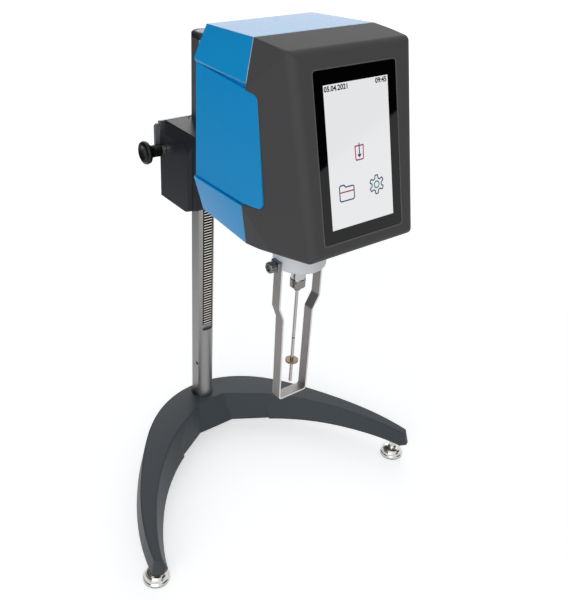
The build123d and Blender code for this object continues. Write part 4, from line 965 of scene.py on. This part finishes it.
# Lower corners of the card on the left, grey at its foot and near black above.
WING_NEAR = Vector((-0.85, -0.30, 0.0))
WING_FAR = Vector((0.05, 1.05, 0.0))
WING_TALL = 0.9
WING_FOOT = (0.55, 0.55, 0.55)
WING_TOP = (0.08, 0.08, 0.08)

# Heights between which a card goes from the tint of its foot to that of its top.
FADE_LOW = 0.02
FADE_HIGH = 0.32


def camera_matrix(studio):
    yaw, pitch, roll = studio.camera_yaw, studio.camera_pitch, studio.camera_roll
    ahead = Vector((math.cos(pitch) * math.sin(yaw), math.cos(pitch) * math.cos(yaw), math.sin(pitch)))
    level = Vector((math.cos(yaw), -math.sin(yaw), 0))
    upright = level.cross(ahead)
    right = level * math.cos(roll) + upright * math.sin(roll)
    top = upright * math.cos(roll) - level * math.sin(roll)
    turn = Matrix((right, top, -ahead)).transposed()
    return Matrix.Translation(Vector(studio.camera_place)) @ turn.to_4x4()


def soft_lamp(name, place, target, size, power):
    """Large soft lamp that faces its target."""
    deselect()
    bpy.ops.object.light_add(type="AREA", location=place)
    lamp = bpy.context.object
    lamp.name = name
    lamp.data.shape = "RECTANGLE"
    lamp.data.size, lamp.data.size_y = size
    lamp.data.energy = power
    aim = (Vector(target) - Vector(place)).normalized()
    lamp.rotation_euler = aim.to_track_quat("-Z", "Y").to_euler()


def floor_finish(tint, near, far):
    """Pale floor: just white around the object, so its shadow shows, and lifted further out."""
    finish = Finish("studio floor")
    away = finish.node("ShaderNodeVectorMath", {"operation": "LENGTH"}, (finish.place(),), out="Value")
    lift = finish.mix_colour(away.from_to(FLOOR_NEAR, FLOOR_FAR), [near] * 3, [far] * 3)
    paint = finish.node("ShaderNodeBsdfDiffuse", {}, {"Color": tint})
    glow = finish.node("ShaderNodeEmission", {}, {"Color": lift, "Strength": finish.seen()})
    return finish.output(finish.node("ShaderNodeAddShader", {}, (paint, glow)))


def dark_card(name, left, right, tall, foot_tint, top_tint):
    """Dark card that only reflections see, from a lower edge upwards, darker with height."""
    deselect()
    bpy.ops.mesh.primitive_plane_add(size=1)
    card = bpy.context.object
    rise = Vector((0, 0, tall))
    for vertex, corner in zip(card.data.vertices, (left, right, left + rise, right + rise)):
        vertex.co = corner
    card.name = name
    finish = Finish(name)
    tone = finish.mix_colour(finish.along("Z").from_to(FADE_LOW, FADE_HIGH), foot_tint, top_tint)
    card.data.materials.append(finish.output(finish.node("ShaderNodeEmission", {}, {"Color": tone})))
    card.visible_camera = False
    card.visible_diffuse = False
    card.visible_shadow = False
    card.visible_transmission = False


def dark_cards():
    """One in front gives the glass its dark upper part, one on the left deepens the sides."""
    along = (CARD_RIGHT - CARD_LEFT).normalized() * CARD_OVERHANG
    dark_card("front_card", CARD_LEFT - along, CARD_RIGHT + along, CARD_TALL, BLACK, BLACK)
    dark_card("left_card", WING_NEAR, WING_FAR, WING_TALL, WING_FOOT, WING_TOP)


def studio_world(ambient):
    """Even light from all around, which shows as white."""
    world = bpy.data.worlds.new("studio")
    world.use_nodes = True
    sky = Shading(world.node_tree)
    strength = ambient + (1.0 - ambient) * sky.seen()
    light = sky.node("ShaderNodeBackground", {}, {"Color": (1, 1, 1), "Strength": strength})
    sky.node("ShaderNodeOutputWorld", {}, {"Surface": light})
    bpy.context.scene.world = world


class VISCOMETER_OT_stage(bpy.types.Operator):
    """Floor, lamps, world and camera"""
    bl_idname = "viscometer.stage"
    bl_label = "Studio"

    def execute(self, context):
        studio = context.scene.viscometer_studio
        scene = context.scene
        deselect()
        bpy.ops.mesh.primitive_circle_add(vertices=64, radius=FLOOR_RADIUS, fill_type="NGON")
        floor = bpy.context.object
        settle(floor, "studio_floor")
        floor.data.materials.append(floor_finish(studio.floor, studio.floor_white, studio.far_white))
        for name, place, aim, size, power in LAMPS:
            soft_lamp(name, place, aim, size, getattr(studio, power))
        dark_cards()
        studio_world(studio.ambient)
        camera_data = bpy.data.cameras.new("camera")
        camera_data.sensor_width = 36.0
        camera_data.lens = studio.lens
        camera_data.clip_start = CLIP_START
        camera = bpy.data.objects.new("camera", camera_data)
        camera.matrix_world = camera_matrix(studio)
        scene.collection.objects.link(camera)
        scene.camera = camera
        scene.view_settings.view_transform = "Standard"
        return {"FINISHED"}


class VISCOMETER_PT_panel(bpy.types.Panel):
    """Sidebar panel with the viscometer's pieces and settings"""
    bl_idname = "VISCOMETER_PT_panel"
    bl_label = "Viscometer"
    bl_space_type = "VIEW_3D"
    bl_region_type = "UI"
    bl_category = "Viscometer"

    def draw(self, context):
        layout = self.layout
        for operator in OPERATORS:
            layout.operator(operator.bl_idname)
        for title, group in (("Colours", context.scene.viscometer_colours),
                             ("Sizes", context.scene.viscometer_sizes),
                             ("Studio", context.scene.viscometer_studio)):
            section = layout.box()
            section.label(text=title)
            for name in group.__annotations__:
                section.prop(group, name)


GROUPS = (ViscometerColours, ViscometerSizes, ViscometerStudio)
OPERATORS = (
    VISCOMETER_OT_finishes,
    VISCOMETER_OT_screen,
    VISCOMETER_OT_bezel,
    VISCOMETER_OT_threads,
    VISCOMETER_OT_switch_marks,
    VISCOMETER_OT_rack_stop,
    VISCOMETER_OT_contacts,
    VISCOMETER_OT_stage,
)


def register():
    for item in (*GROUPS, *OPERATORS, VISCOMETER_PT_panel):
        bpy.utils.register_class(item)
    bpy.types.Scene.viscometer_colours = PointerProperty(type=ViscometerColours)
    bpy.types.Scene.viscometer_sizes = PointerProperty(type=ViscometerSizes)
    bpy.types.Scene.viscometer_studio = PointerProperty(type=ViscometerStudio)


def unregister():
    del bpy.types.Scene.viscometer_studio
    del bpy.types.Scene.viscometer_sizes
    del bpy.types.Scene.viscometer_colours
    for item in reversed((*GROUPS, *OPERATORS, VISCOMETER_PT_panel)):
        bpy.utils.unregister_class(item)


def main():
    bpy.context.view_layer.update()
    register()
    for operator in OPERATORS:
        family, name = operator.bl_idname.split(".")
        getattr(getattr(bpy.ops, family), name)()


if __name__ == "__main__":
    main()
